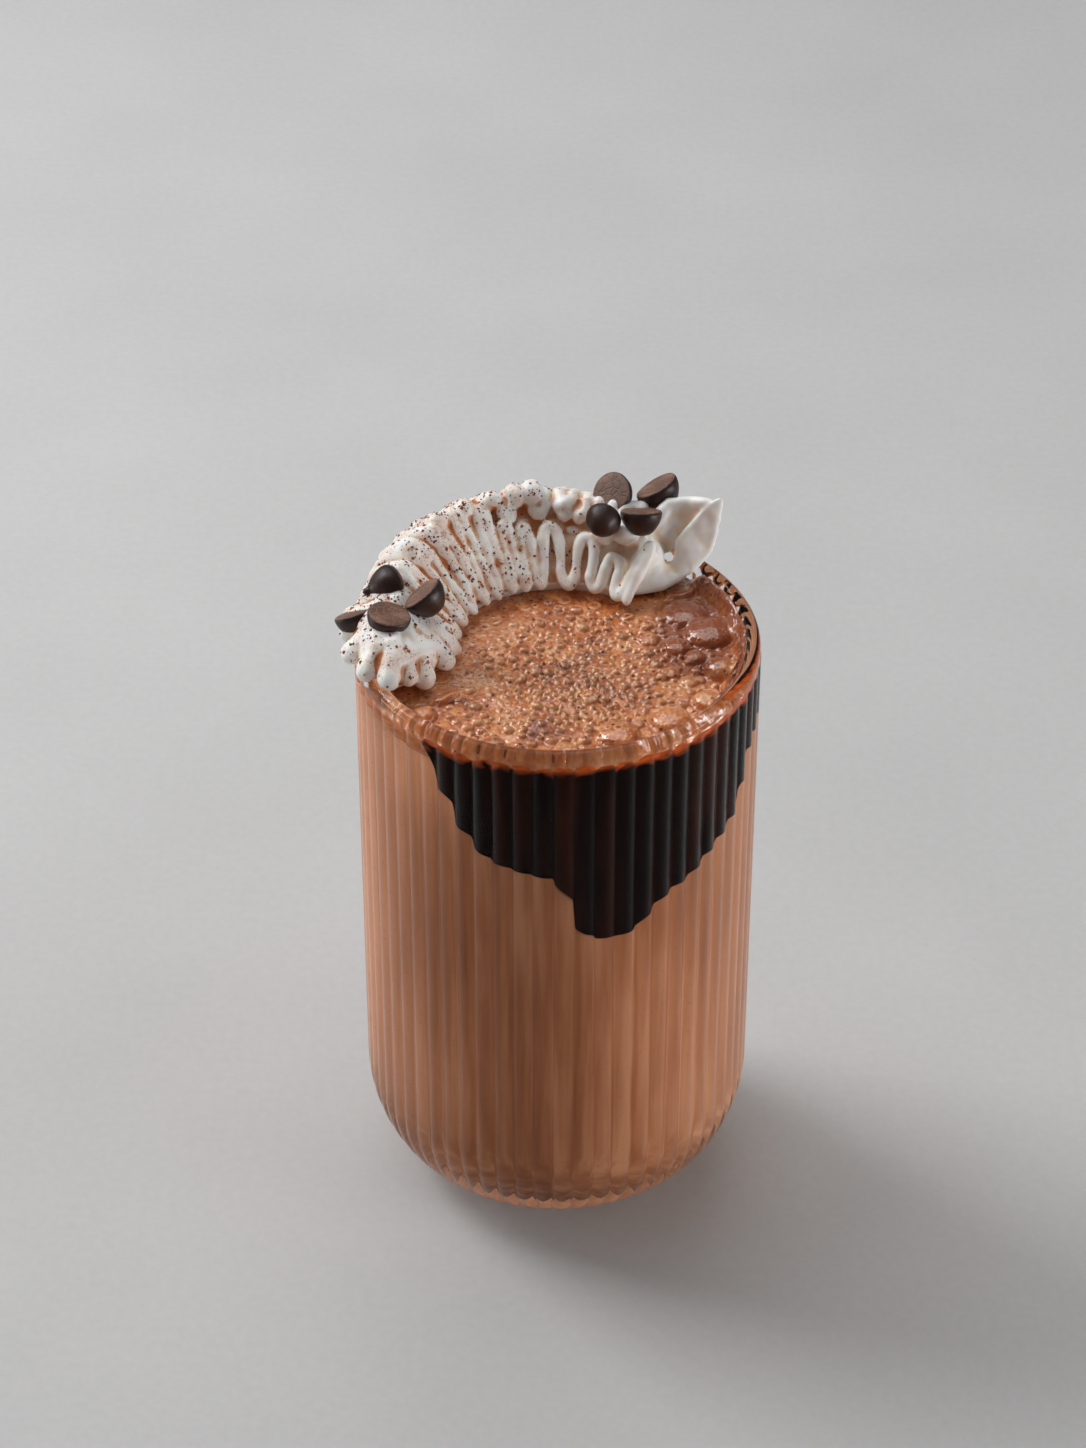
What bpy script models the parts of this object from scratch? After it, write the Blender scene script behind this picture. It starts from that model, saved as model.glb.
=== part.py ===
"""A chocolate milkshake in a ribbed tumbler, with syrup, froth, piped cream and chocolate chips.

Metres, +Z up. The origin is the centre of the glass's flat foot, and the syrup's tongue is on the -Y side.
Azimuths are in degrees from +X towards +Y, and tables of shapes are in millimetres.
"""

import math

import bmesh
import bpy
from mathutils import Matrix, Vector

MM = 0.001
GAP = 0.3 * MM

# Glass: a pressed tumbler with upright ribs outside and a smooth bore
GLASS_RADIUS = 38.0 * MM
GLASS_HEIGHT = 124.5 * MM
FOOT_RADIUS = 16.3 * MM
CORNER_HEIGHT = 24.0 * MM
BORE_RADIUS = 34.9 * MM
BASE_THICKNESS = 9.2 * MM
BORE_CORNER_HEIGHT = 18.0 * MM
CORNER_STEPS = 5
BORE_STEPS = 62
RIB_COUNT = 62
FACETS_PER_RIB = 3
RIB_DEPTH = 0.6 * MM
RIB_TURN = math.radians(1.6)
RIB_FADE = 1.2 * MM
LIP_HEIGHT = 2.6 * MM
LIP_INSET = 0.2 * MM

# Shake: it fills the bore up to the froth
SHAKE_TOP = 117.4 * MM
SHAKE_STEPS = 40

# Syrup: it runs down the wall from the froth; its lower edge is given as (azimuth, height)
SYRUP_TOP = 120.9 * MM
SYRUP_TOP_UNDER_CREAM = 119.6 * MM
SYRUP_THICKNESS = 4.2 * MM
SYRUP_EDGE = 1.0 * MM
SYRUP_COLUMNS = 36
SYRUP_ROWS = 4
SYRUP_LOWER_EDGE = (
    (-132.0, 119.5),
    (-126.0, 111.5),
    (-120.0, 105.0),
    (-113.0, 98.9),
    (-103.0, 96.6),
    (-92.0, 95.2),
    (-86.5, 91.5),
    (-83.0, 82.0),
    (-76.0, 80.1),
    (-68.0, 80.7),
    (-63.0, 83.5),
    (-57.0, 87.6),
    (-45.0, 89.0),
    (-30.0, 94.2),
    (-14.0, 106.2),
    (10.0, 111.0),
    (46.0, 117.6),
)

# Froth: a level disc that climbs the open part of the wall, with large bubbles as (x, y, radius, rise)
FROTH_LEVEL = 120.3 * MM
FROTH_SWELL = 0.2 * MM
FROTH_CLIMB = 2.6 * MM
FROTH_CLIMB_WIDTH = 3.5 * MM
FROTH_RINGS = 11
FROTH_STEPS = 48
BUBBLES = (
    (30.3, -5.6, 3.3, 1.9),
    (28.6, 6.6, 4.9, 1.5),
    (24.0, 13.0, 4.6, 0.9),
    (20.4, -20.8, 4.0, 1.2),
    (27.4, -15.4, 2.9, 1.3),
    (11.0, -25.5, 4.1, 1.1),
    (-21.6, -13.2, 3.2, 1.5),
    (-24.9, -19.4, 2.8, 1.2),
    (23.5, 20.5, 2.9, 1.0),
)

# Cream: a fold's middle line as (radius, height), from its inner foot over the crest to its outer foot
CREAM_SECTION = ((18.9, 122.4), (24.6, 129.2), (30.6, 135.8), (35.6, 132.4), (37.6, 125.6))
CREAM_HEART = (29.5, 124.5)
CREAM_FOOT_Z = 121.5
# The piping runs clockwise from its start to its end, as high there as (azimuth, share of the full height)
CREAM_START = 200.0
CREAM_END = 46.0
CREAM_RISE = (
    (40.0, 0.9),
    (78.0, 0.93),
    (95.0, 1.0),
    (140.0, 1.0),
    (165.0, 0.84),
    (185.0, 0.66),
    (205.0, 0.58),
)
# Two ropes fill the cream: radius and height of their middle line, and thickness. They and the body behind
# the folds stop short of the leaf's hollow.
CREAM_CORE = ((29.4, 125.6, 5.2), (28.9, 129.2, 3.0))
CORE_END = 57.0
BODY_END = 54.0
BODY_DEPTH = 1.0
BODY_FLOOR = 118.0
# Inner ruffle: azimuth and climb of each cap, the azimuth of the foot after it, and the cap's thickness
INNER_FOLDS = (
    (192.0, 1.7, 185.0, 1.5),
    (178.0, 1.9, 171.0, 1.6),
    (164.5, 2.0, 158.5, 1.7),
    (152.5, 2.05, 146.0, 1.45),
    (140.0, 1.95, 135.5, 1.6),
    (130.5, 2.05, 126.0, 1.35),
    (121.0, 1.9, 117.0, 1.4),
    (112.5, 1.45, 108.5, 1.2),
    (104.5, 1.3, 99.5, 1.15),
    (94.0, 1.3, 83.5, 1.15),
    (77.5, 1.15, 68.0, 1.15),
    (62.5, 0.85, 53.0, 1.1),
    (49.0, 1.4, 46.0, 1.1),
)
# Outer ruffle: azimuth of each fold's inner end, then of the outer end after it
OUTER_FOLDS = (
    (178.0, 172.0),
    (166.0, 160.0),
    (154.0, 148.0),
    (142.0, 136.0),
    (130.0, 125.0),
    (120.0, 115.0),
    (110.0, 104.0),
    (97.0, 92.0),
    (87.0, 82.0),
    (77.0, 72.0),
    (67.0, 61.0),
)
OUTER_CLIMBS = (1.55, 3.7)
OUTER_THICKNESS = (1.3, 1.5)
FOOT_THICKNESS = 0.95
LEG_STEEPNESS = 0.85
FOLD_STEPS = 9
# Fat lobes that stand up from the crest, and two that carry the chips: azimuth, climb and radius
CREST_LOBES = (
    (154.0, 2.05, 2.6),
    (138.0, 2.0, 2.1),
    (125.0, 2.1, 2.3),
    (114.0, 2.0, 1.9),
    (105.5, 2.05, 2.5),
    (99.5, 2.05, 2.8),
    (88.0, 1.8, 2.1),
    (81.0, 1.6, 1.7),
    (70.0, 1.35, 2.7),
    (61.0, 1.4, 2.5),
)
# Blunt end where the piping started, as ropes of (x, y, z, thickness), and pleats from its top to their feet
START_MASS = (
    ((-24.6, -0.5, 124.6, 4.4), (-26.6, -6.6, 124.4, 4.8), (-30.2, -10.4, 125.2, 4.6)),
    ((-30.0, 4.0, 127.4, 5.2), (-32.6, -3.0, 127.2, 5.2), (-32.4, -8.4, 126.4, 4.8)),
)
START_TOP = (-29.6, -3.0, 131.0, 2.0)
START_FEET = (
    (-19.9, 2.0, 123.2, 1.6),
    (-20.3, -2.2, 123.2, 2.2),
    (-20.9, -6.0, 122.9, 2.0),
    (-24.6, -11.6, 122.9, 2.3),
    (-27.4, -14.0, 124.4, 1.7),
    (-30.9, -15.5, 125.5, 2.3),
    (-35.0, -13.2, 125.7, 2.2),
    (-38.0, -8.0, 125.8, 2.1),
    (-38.9, -2.2, 126.3, 1.7),
    (-38.4, 2.6, 127.0, 1.6),
)
# The leaf where the piping was pulled off: ropes from its lower to its upper edge, as (x, y, z, thickness)
LEAF = (
    ((13.2, 18.2, 122.0, 1.2), (13.6, 22.4, 127.6, 1.1)),
    ((16.2, 18.8, 122.0, 1.3), (17.1, 23.2, 128.8, 1.0)),
    ((19.6, 19.8, 122.0, 1.3), (19.9, 22.4, 124.9, 0.8)),
    ((23.0, 21.8, 122.6, 1.2), (22.0, 22.8, 123.9, 0.8)),
    ((26.2, 23.2, 124.8, 1.3), (23.6, 24.4, 129.0, 0.9)),
    ((28.6, 24.6, 127.2, 1.2), (25.4, 25.0, 131.6, 0.8)),
    ((29.6, 25.0, 131.0, 1.1), (27.4, 25.3, 134.4, 0.8)),
    ((30.4, 25.3, 134.6, 0.9), (29.4, 25.5, 136.6, 0.7)),
    ((31.3, 25.6, 138.3, 0.4), (31.2, 25.6, 138.3, 0.4)),
)
LEAF_BACK = (
    ((15.0, 25.4, 129.0, 1.4), (14.0, 26.4, 126.0, 2.4)),
    ((18.4, 26.8, 132.0, 1.4), (18.4, 27.0, 126.0, 2.2)),
    ((21.4, 28.0, 134.4, 1.4), (22.0, 27.4, 127.0, 1.8)),
    ((25.4, 27.8, 135.0, 1.2), (25.4, 27.2, 128.8, 1.4)),
    ((28.8, 26.3, 136.2, 0.8), (28.0, 26.6, 131.4, 1.0)),
)
LEAF_STEPS = 5
TAIL_ROPES = (
    ((16.0, 25.6, 129.8, 1.6), (21.4, 28.0, 134.8, 1.5), (25.4, 28.0, 135.3, 1.3), (28.6, 26.4, 136.4, 0.9)),
    ((13.0, 25.0, 123.6, 2.8), (18.0, 24.6, 121.4, 2.0), (23.6, 25.6, 121.8, 1.8), (27.0, 26.2, 124.6, 1.4)),
    ((14.6, 23.6, 128.6, 1.2), (13.9, 20.4, 125.2, 1.15), (13.1, 17.4, 122.0, 1.0)),
)
CREAM_VOXEL = 0.7 * MM
CREAM_TRIANGLES = 3500

# Chips: a flat round face and a short blunt cone, whose outline is (share of radius, share of height)
CHIP_RADIUS = 4.1
CHIP_HEIGHT = 5.0
CHIP_STEPS = 12
CHIP_OUTLINE = ((0.92, 0.0), (1.0, 0.1), (0.96, 0.34), (0.78, 0.64), (0.58, 0.86), (0.36, 0.98))
# Centre of the flat face, the way the cone points, and width and length against the standard chip
CHIPS = (
    ("chip_left_side", (-29.4, 5.8, 132.8), (-0.93, -0.33, -0.17), 0.95, 1.2),
    ("chip_left_tilted", (-25.4, 0.4, 133.8), (0.62, -0.2, -0.76), 1.0, 1.0),
    ("chip_left_flat", (-31.0, -5.0, 132.8), (-0.2, 0.0, -0.98), 0.98, 0.98),
    ("chip_left_outer", (-37.8, 0.0, 129.6), (0.3, -0.42, -0.86), 0.95, 0.95),
    ("chip_right_facing", (10.1, 29.8, 136.6), (0.45, 0.56, -0.67), 0.98, 0.98),
    ("chip_right_back", (18.7, 32.4, 136.6), (0.48, -0.2, -0.85), 1.04, 1.04),
    ("chip_right_front", (8.8, 24.0, 134.6), (-0.2, -0.97, 0.0), 0.84, 0.84),
    ("chip_right_low", (15.9, 24.8, 135.8), (0.0, -0.42, -0.9), 0.98, 0.98),
)


def clear_scene():
    for old in list(bpy.data.objects):
        bpy.data.objects.remove(old)


def new_collection(name):
    made = bpy.data.collections.new(name)
    bpy.context.scene.collection.children.link(made)
    return made


def material(name, colour, roughness, transmission=0.0):
    made = bpy.data.materials.new(name)
    made.use_nodes = True
    shader = made.node_tree.nodes["Principled BSDF"]
    shader.inputs["Base Color"].default_value = (*colour, 1.0)
    shader.inputs["Roughness"].default_value = roughness
    shader.inputs["Metallic"].default_value = 0.0
    shader.inputs["Transmission Weight"].default_value = transmission
    return made


def place(name, mesh, collection, finish):
    """An object in a collection, shaded smooth. Without a finish it is a cutter, which isn't rendered."""
    made = bpy.data.objects.new(name, mesh)
    collection.objects.link(made)
    mesh.shade_smooth()
    mesh.set_sharp_from_angle(angle=math.radians(40))
    if finish:
        mesh.materials.clear()
        mesh.materials.append(finish)
    else:
        made.hide_render = True
        made.display_type = "WIRE"
    return made


def evaluated_mesh(source):
    """The object's mesh with its modifiers applied, and a curve's caps welded to its sides."""
    graph = bpy.context.evaluated_depsgraph_get()
    graph.update()
    mesh = bpy.data.meshes.new_from_object(source.evaluated_get(graph))
    shape = bmesh.new()
    shape.from_mesh(mesh)
    bmesh.ops.remove_doubles(shape, verts=shape.verts, dist=0.001 * MM)
    bmesh.ops.recalc_face_normals(shape, faces=shape.faces)
    shape.to_mesh(mesh)
    shape.free()
    return mesh


def turned(name, profile, steps, collection, finish=None):
    """A solid of revolution about Z, from (radius, height) points that run down its outer side."""
    mesh = bpy.data.meshes.new(name)
    points = [(radius, 0.0, height) for radius, height in profile]
    edges = [(i, i + 1) for i in range(len(points) - 1)]
    mesh.from_pydata(points, edges, [])
    made = bpy.data.objects.new(name, mesh)
    collection.objects.link(made)
    screw = made.modifiers.new("turn", "SCREW")
    screw.steps = steps
    screw.render_steps = steps
    screw.use_merge_vertices = True
    screw.merge_threshold = 0.01 * MM
    solid = evaluated_mesh(made)
    bpy.data.objects.remove(made)
    return place(name, solid, collection, finish)


def cut_from(target, cutter, solver="EXACT"):
    cut = target.modifiers.new("less_" + cutter.name, "BOOLEAN")
    cut.operation = "DIFFERENCE"
    cut.object = cutter
    cut.solver = solver


def elliptic_corner(inner_radius, outer_radius, low, high):
    """Points of a quarter ellipse from the upright wall down to the flat floor."""
    points = []
    for i in range(CORNER_STEPS + 1):
        angle = math.pi / 2 * (1 - i / CORNER_STEPS)
        radius = inner_radius + (outer_radius - inner_radius) * math.sin(angle)
        points.append((radius, high - (high - low) * math.cos(angle)))
    return points


def smooth(low, high, value):
    """0 at low, 1 at high, with a soft step between."""
    share = min(1.0, max(0.0, (value - low) / (high - low)))
    return share * share * (3 - 2 * share)


def read_table(table, azimuth):
    """The value at this azimuth, on straight lines between a table's rows."""
    for (a0, v0), (a1, v1) in zip(table, table[1:]):
        if azimuth <= a1:
            return v0 + (v1 - v0) * max(0.0, (azimuth - a0) / (a1 - a0))
    return table[-1][1]


def on_ring(azimuth, radius, height):
    turn = math.radians(azimuth)
    return radius * math.cos(turn), radius * math.sin(turn), height


def carve_ribs(mesh):
    """Moves the wall's points inwards at the grooves. The lip stays round, and the foot is cut less deep."""
    ribs_end = GLASS_HEIGHT - LIP_HEIGHT
    foot_share = 0.35
    for point in mesh.vertices:
        radius = math.hypot(point.co.x, point.co.y)
        if radius < FOOT_RADIUS * 0.99:
            continue
        turn = math.atan2(point.co.y, point.co.x) * RIB_COUNT / math.tau
        from_groove = abs(turn - round(turn))
        depth = RIB_DEPTH * (1 - 2 * from_groove) ** 2
        depth *= 1 - smooth(ribs_end - RIB_FADE, ribs_end, point.co.z)
        depth *= foot_share + (1 - foot_share) * smooth(0.0, CORNER_HEIGHT / 4, point.co.z)
        point.co.x *= 1 - depth / radius
        point.co.y *= 1 - depth / radius
    mesh.transform(Matrix.Rotation(RIB_TURN, 4, "Z"))


def make_glass(parts, cutters, finish):
    """The ribbed wall is turned with three facets to a rib, and the bore is cut from it."""
    top = GLASS_HEIGHT
    outer = [
        (0.0, top),
        (GLASS_RADIUS - 1.1 * MM, top),
        (GLASS_RADIUS - 0.45 * MM, top - 0.45 * MM),
        (GLASS_RADIUS - LIP_INSET, top - LIP_HEIGHT),
        (GLASS_RADIUS, top - LIP_HEIGHT - RIB_FADE),
    ]
    outer += elliptic_corner(FOOT_RADIUS, GLASS_RADIUS, 0.0, CORNER_HEIGHT)
    outer += [(0.0, 0.0)]
    wall = turned("glass", outer, RIB_COUNT * FACETS_PER_RIB, parts, finish)
    carve_ribs(wall.data)
    bore = [
        (0.0, top + LIP_HEIGHT),
        (GLASS_RADIUS, top + LIP_HEIGHT),
        (BORE_RADIUS + 1.1 * MM, top + 0.02 * MM),
        (BORE_RADIUS + 0.25 * MM, top - 0.6 * MM),
        (BORE_RADIUS, top - 1.5 * MM),
    ]
    bore += elliptic_corner(FOOT_RADIUS, BORE_RADIUS, BASE_THICKNESS, BASE_THICKNESS + BORE_CORNER_HEIGHT)
    bore += [(0.0, BASE_THICKNESS)]
    cut_from(wall, turned("bore", bore, BORE_STEPS, cutters))


def syrup_section(azimuth, grow):
    """The syrup's upright section as (radius, height) points: down its wall side, then up its inner side."""
    start, end = SYRUP_LOWER_EDGE[0][0], SYRUP_LOWER_EDGE[-1][0]
    top = SYRUP_TOP + (SYRUP_TOP_UNDER_CREAM - SYRUP_TOP) * smooth(10.0, 30.0, azimuth) + grow
    low = read_table(SYRUP_LOWER_EDGE, azimuth) * MM - grow
    wall = BORE_RADIUS - GAP
    body = smooth(start, start + 20.0, azimuth) * smooth(end, end - 35.0, azimuth)
    down, up = [], []
    for i in range(SYRUP_ROWS + 1):
        share = i / SYRUP_ROWS
        height = top + (low - top) * share
        bulge = abs(math.sin(math.pi * share)) ** 0.7
        depth = SYRUP_EDGE + (SYRUP_THICKNESS - SYRUP_EDGE) * bulge * body
        down.append((wall + 4 * grow, height))
        up.append((wall - depth - grow, height))
    return down + up[::-1]


def lofted(name, sections, collection, finish):
    """A closed solid through rings of points, with its first and last ring filled."""
    shape = bmesh.new()
    rings = [[shape.verts.new(point) for point in section] for section in sections]
    count = len(rings[0])
    for ring, following in zip(rings, rings[1:]):
        for i in range(count):
            j = (i + 1) % count
            shape.faces.new((ring[i], ring[j], following[j], following[i]))
    shape.faces.new(rings[0])
    shape.faces.new(rings[-1])
    bmesh.ops.recalc_face_normals(shape, faces=shape.faces)
    mesh = bpy.data.meshes.new(name)
    shape.to_mesh(mesh)
    shape.free()
    return place(name, mesh, collection, finish)


def make_syrup(name, collection, finish=None, grow=0.0):
    """Syrup clings to the bore, from the froth to its ragged tongue. Grown a little, it cuts the others."""
    margin = math.degrees(grow / BORE_RADIUS)
    start = SYRUP_LOWER_EDGE[0][0] - margin
    end = SYRUP_LOWER_EDGE[-1][0] + margin
    sections = []
    for i in range(SYRUP_COLUMNS + 1):
        azimuth = start + (end - start) * i / SYRUP_COLUMNS
        sections.append([on_ring(azimuth, *point) for point in syrup_section(azimuth, grow)])
    return lofted(name, sections, collection, finish)


def make_shake(parts, syrup_cutter, finish):
    """The drink fills the bore up to the froth, less the syrup on the wall."""
    radius = BORE_RADIUS - GAP
    floor = BASE_THICKNESS + GAP
    profile = [(0.0, SHAKE_TOP), (radius, SHAKE_TOP)]
    profile += elliptic_corner(FOOT_RADIUS, radius, floor, BASE_THICKNESS + BORE_CORNER_HEIGHT)
    profile += [(0.0, floor)]
    shake = turned("shake", profile, SHAKE_STEPS, parts, finish)
    cut_from(shake, syrup_cutter)


def cream_cover(x, y):
    """1 where the cream lies on the froth, 0 where the froth is open."""
    azimuth = math.degrees(math.atan2(y, x)) % 360
    along = smooth(CREAM_END - 14, CREAM_END - 6, azimuth)
    along *= smooth(CREAM_START + 26, CREAM_START + 18, azimuth)
    inner_foot = CREAM_SECTION[0][0] * MM
    return along * smooth(inner_foot - 5 * MM, inner_foot - 2.5 * MM, math.hypot(x, y))


def froth_height(x, y):
    """A gentle swell, domes where large bubbles sit, and a climb up the wall, all but under the cream."""
    swell = math.sin(x / (5.3 * MM)) * math.cos(y / (4.1 * MM) + 0.7)
    height = FROTH_LEVEL + FROTH_SWELL * swell
    height += FROTH_CLIMB * smooth(BORE_RADIUS - FROTH_CLIMB_WIDTH, BORE_RADIUS, math.hypot(x, y))
    for bubble_x, bubble_y, size, rise in BUBBLES:
        away = math.hypot(x / MM - bubble_x, y / MM - bubble_y) / size
        if away < 1:
            height = max(height, FROTH_LEVEL + rise * MM * math.sqrt(1 - away * away))
    cover = cream_cover(x, y)
    return min(height, FROTH_LEVEL) * cover + height * (1 - cover)


def make_froth(parts, syrup_cutter, finish):
    """The froth is a disc with its top raised to froth_height, less the syrup's upper edge."""
    edge = BORE_RADIUS - GAP
    bottom = SHAKE_TOP + GAP
    profile = [(edge * i / FROTH_RINGS, FROTH_LEVEL) for i in range(FROTH_RINGS + 1)]
    profile += [(edge, bottom), (0.0, bottom)]
    froth = turned("froth", profile, FROTH_STEPS, parts, finish)
    for point in froth.data.vertices:
        if point.co.z > (FROTH_LEVEL + bottom) / 2:
            point.co.z = froth_height(point.co.x, point.co.y)
    cut_from(froth, syrup_cutter)


def domed_end(tip, before):
    """Points that close a rope's end with a dome: tip and the point before it are (x, y, z, radius)."""
    way = (Vector(tip[:3]) - Vector(before[:3])).normalized()
    points = []
    for angle in (35, 65, 83):
        turn = math.radians(angle)
        middle = Vector(tip[:3]) + way * tip[3] * math.sin(turn)
        points.append((*middle, tip[3] * math.cos(turn)))
    return points


def rope(name, points, collection):
    """A closed round rope with domed ends, through (x, y, z, radius) points in millimetres."""
    points = domed_end(points[0], points[1])[::-1] + points + domed_end(points[-1], points[-2])
    curve = bpy.data.curves.new(name, "CURVE")
    curve.dimensions = "3D"
    curve.bevel_depth = 1.0
    curve.bevel_resolution = 2
    curve.use_fill_caps = True
    spline = curve.splines.new("POLY")
    spline.points.add(len(points) - 1)
    for control, point in zip(spline.points, points):
        x, y, z, radius = (value * MM for value in point)
        control.co = (x, y, z, 1.0)
        control.radius = radius
    made = bpy.data.objects.new(name, curve)
    collection.objects.link(made)
    mesh = evaluated_mesh(made)
    bpy.data.objects.remove(made)
    return place(name, mesh, collection, None)


def cream_height(azimuth, height):
    return CREAM_FOOT_Z + (height - CREAM_FOOT_Z) * read_table(CREAM_RISE, azimuth)


def section_point(climb, depth=0.0):
    """(radius, height) on the section, sunk by depth. Climb counts along its points, and 2 is the crest."""
    step = min(int(climb), len(CREAM_SECTION) - 2)
    low, high = Vector(CREAM_SECTION[step]), Vector(CREAM_SECTION[step + 1])
    point = low.lerp(high, climb - step)
    return point + (Vector(CREAM_HEART) - point).normalized() * depth


def cream_point(azimuth, climb, depth=0.0):
    radius, height = section_point(climb, depth)
    return on_ring(azimuth, radius, cream_height(azimuth, height))


def cream_body(collection):
    """The cream behind the folds: the section drawn in a little and swept round the rim."""
    sections = []
    steps = 40
    for i in range(steps + 1):
        azimuth = CREAM_START - 8 + (BODY_END + 8 - CREAM_START) * i / steps
        section = [cream_point(azimuth, climb / 2, BODY_DEPTH) for climb in range(9)]
        section += [on_ring(azimuth, 36.0, BODY_FLOOR), on_ring(azimuth, 21.5, BODY_FLOOR)]
        sections.append([Vector(point) * MM for point in section])
    return lofted("cream_body", sections, collection, None)


def core_rope(radius, height, thickness):
    """A rope under the folds, from the piping's start to the leaf."""
    steps = 22
    points = []
    for i in range(steps + 1):
        azimuth = CREAM_START + (CORE_END - CREAM_START) * i / steps
        middle = on_ring(azimuth, radius, cream_height(azimuth, height))
        points.append((*middle, thickness * read_table(CREAM_RISE, azimuth)))
    return points


def ruffle(stops):
    """A rope through stops of (azimuth, climb, thickness): steep between them, with a round bend at each."""
    points = []
    for (a0, c0, t0), (a1, c1, t1) in zip(stops, stops[1:]):
        for i in range(FOLD_STEPS):
            share = i / FOLD_STEPS
            along = share + LEG_STEEPNESS * math.sin(math.tau * share) / math.tau
            up = (1 - math.cos(math.pi * share)) / 2
            points.append((*cream_point(a0 + (a1 - a0) * along, c0 + (c1 - c0) * up), t0 + (t1 - t0) * up))
    return points


def sheet_ropes(sheet):
    """Ropes laid side by side from one edge of a sheet to the other."""
    ropes = []
    for (low0, high0), (low1, high1) in zip(sheet, sheet[1:]):
        for i in range(LEAF_STEPS):
            share = i / LEAF_STEPS
            lower = Vector(low0).lerp(Vector(low1), share)
            upper = Vector(high0).lerp(Vector(high1), share)
            ropes.append([tuple(lower), tuple(upper)])
    return ropes


def start_pleat(foot):
    """A pleat bulges a little on its way from the blunt end's top to its rounded foot."""
    middle = Vector(START_TOP).lerp(Vector(foot), 0.55)
    middle.z += 1.1
    return [START_TOP, tuple(middle), foot]


def cream_ropes():
    """Every rope of the cream: the core, both ruffles, the lobes, the blunt end and the leaf."""
    inner_stops, outer_stops = [], []
    for cap, climb, foot, thickness in INNER_FOLDS:
        inner_stops += [(cap, climb, thickness), (foot, 0.0, FOOT_THICKNESS)]
    for azimuths in OUTER_FOLDS:
        outer_stops += zip(azimuths, OUTER_CLIMBS, OUTER_THICKNESS)
    ropes = [ruffle(inner_stops), ruffle(outer_stops)]
    ropes += [core_rope(*core) for core in CREAM_CORE]
    for azimuth, climb, thickness in CREST_LOBES:
        outside = (*cream_point(azimuth, climb + 1.0), thickness * 0.8)
        ropes.append([outside, (*cream_point(azimuth, climb), thickness)])
    ropes += [start_pleat(foot) for foot in START_FEET]
    ropes += sheet_ropes(LEAF) + sheet_ropes(LEAF_BACK)
    return ropes + [list(points) for points in START_MASS + TAIL_ROPES]


def keep_largest_shell(mesh):
    """Drops loose scraps and the walls of inner pockets, and keeps the outer skin."""
    shape = bmesh.new()
    shape.from_mesh(mesh)
    left = set(shape.verts)
    shells = []
    while left:
        shell = {left.pop()}
        queue = list(shell)
        while queue:
            for edge in queue.pop().link_edges:
                found = [point for point in edge.verts if point in left]
                left.difference_update(found)
                shell.update(found)
                queue.extend(found)
        shells.append(shell)
    shells.sort(key=len)
    scraps = [point for shell in shells[:-1] for point in shell]
    bmesh.ops.delete(shape, geom=scraps, context="VERTS")
    shape.to_mesh(mesh)
    shape.free()


def fused_skin(name, pieces, cutters):
    """One closed skin round all the pieces, which are then removed."""
    shape = bmesh.new()
    for piece in pieces:
        shape.from_mesh(piece.data)
        bpy.data.objects.remove(piece)
    together = bpy.data.meshes.new(name)
    shape.to_mesh(together)
    shape.free()
    rough = place(name, together, cutters, None)
    skin = rough.modifiers.new("skin", "REMESH")
    skin.mode = "VOXEL"
    skin.voxel_size = CREAM_VOXEL
    mesh = evaluated_mesh(rough)
    bpy.data.objects.remove(rough)
    keep_largest_shell(mesh)
    return mesh


def make_cream(parts, cutters, chip_cutters, finish):
    """The ropes are fused, made a lighter mesh, and cut to sit on the rim, the froth and round the chips."""
    pieces = [rope("rope", points, cutters) for points in cream_ropes()]
    pieces.append(cream_body(cutters))
    skin = fused_skin("cream_skin", pieces, cutters)
    whole = place("cream_whole", skin, cutters, None)
    thin = whole.modifiers.new("thin", "DECIMATE")
    thin.ratio = CREAM_TRIANGLES / (2 * len(skin.polygons))
    for cutter in [make_seat(cutters), *chip_cutters]:
        cut_from(whole, cutter, "MANIFOLD")
    mesh = evaluated_mesh(whole)
    bpy.data.objects.remove(whole)
    keep_largest_shell(mesh)
    place("cream", mesh, parts, finish)


def make_seat(cutters):
    """What the cream rests on, a hair larger: the froth's level and the rim."""
    top = GLASS_HEIGHT
    inside = BORE_RADIUS - GAP
    outside = GLASS_RADIUS + GAP
    under = SHAKE_TOP - LIP_HEIGHT
    profile = [
        (0.0, FROTH_LEVEL + GAP),
        (inside, FROTH_LEVEL + GAP),
        (inside, top - 1.2 * MM),
        (BORE_RADIUS, top - 0.2 * MM),
        (BORE_RADIUS + 0.9 * MM, top + GAP),
        (GLASS_RADIUS - 1.0 * MM, top + GAP),
        (outside, top - 0.6 * MM),
        (outside, under),
        (0.0, under),
    ]
    return turned("seat", profile, SHAKE_STEPS, cutters)


def make_chip(name, centre, tip_way, width, length, collection, finish=None, grow=0.0):
    """A chip is turned about its own axis, then laid with its cone pointing the way it fell."""
    radius, height = CHIP_RADIUS * MM, CHIP_HEIGHT * MM
    profile = [(0.0, grow)]
    for across, along in CHIP_OUTLINE:
        profile.append((radius * across + grow, -height * along + grow * (1 - 2 * along)))
    profile.append((0.0, -height - grow))
    chip = turned(name, profile, CHIP_STEPS, collection, finish)
    chip.data.transform(Matrix.Diagonal((width, width, length, 1.0)))
    chip.rotation_mode = "QUATERNION"
    chip.rotation_quaternion = (-Vector(tip_way)).to_track_quat("Z", "Y")
    chip.location = Vector(centre) * MM
    return chip


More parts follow.
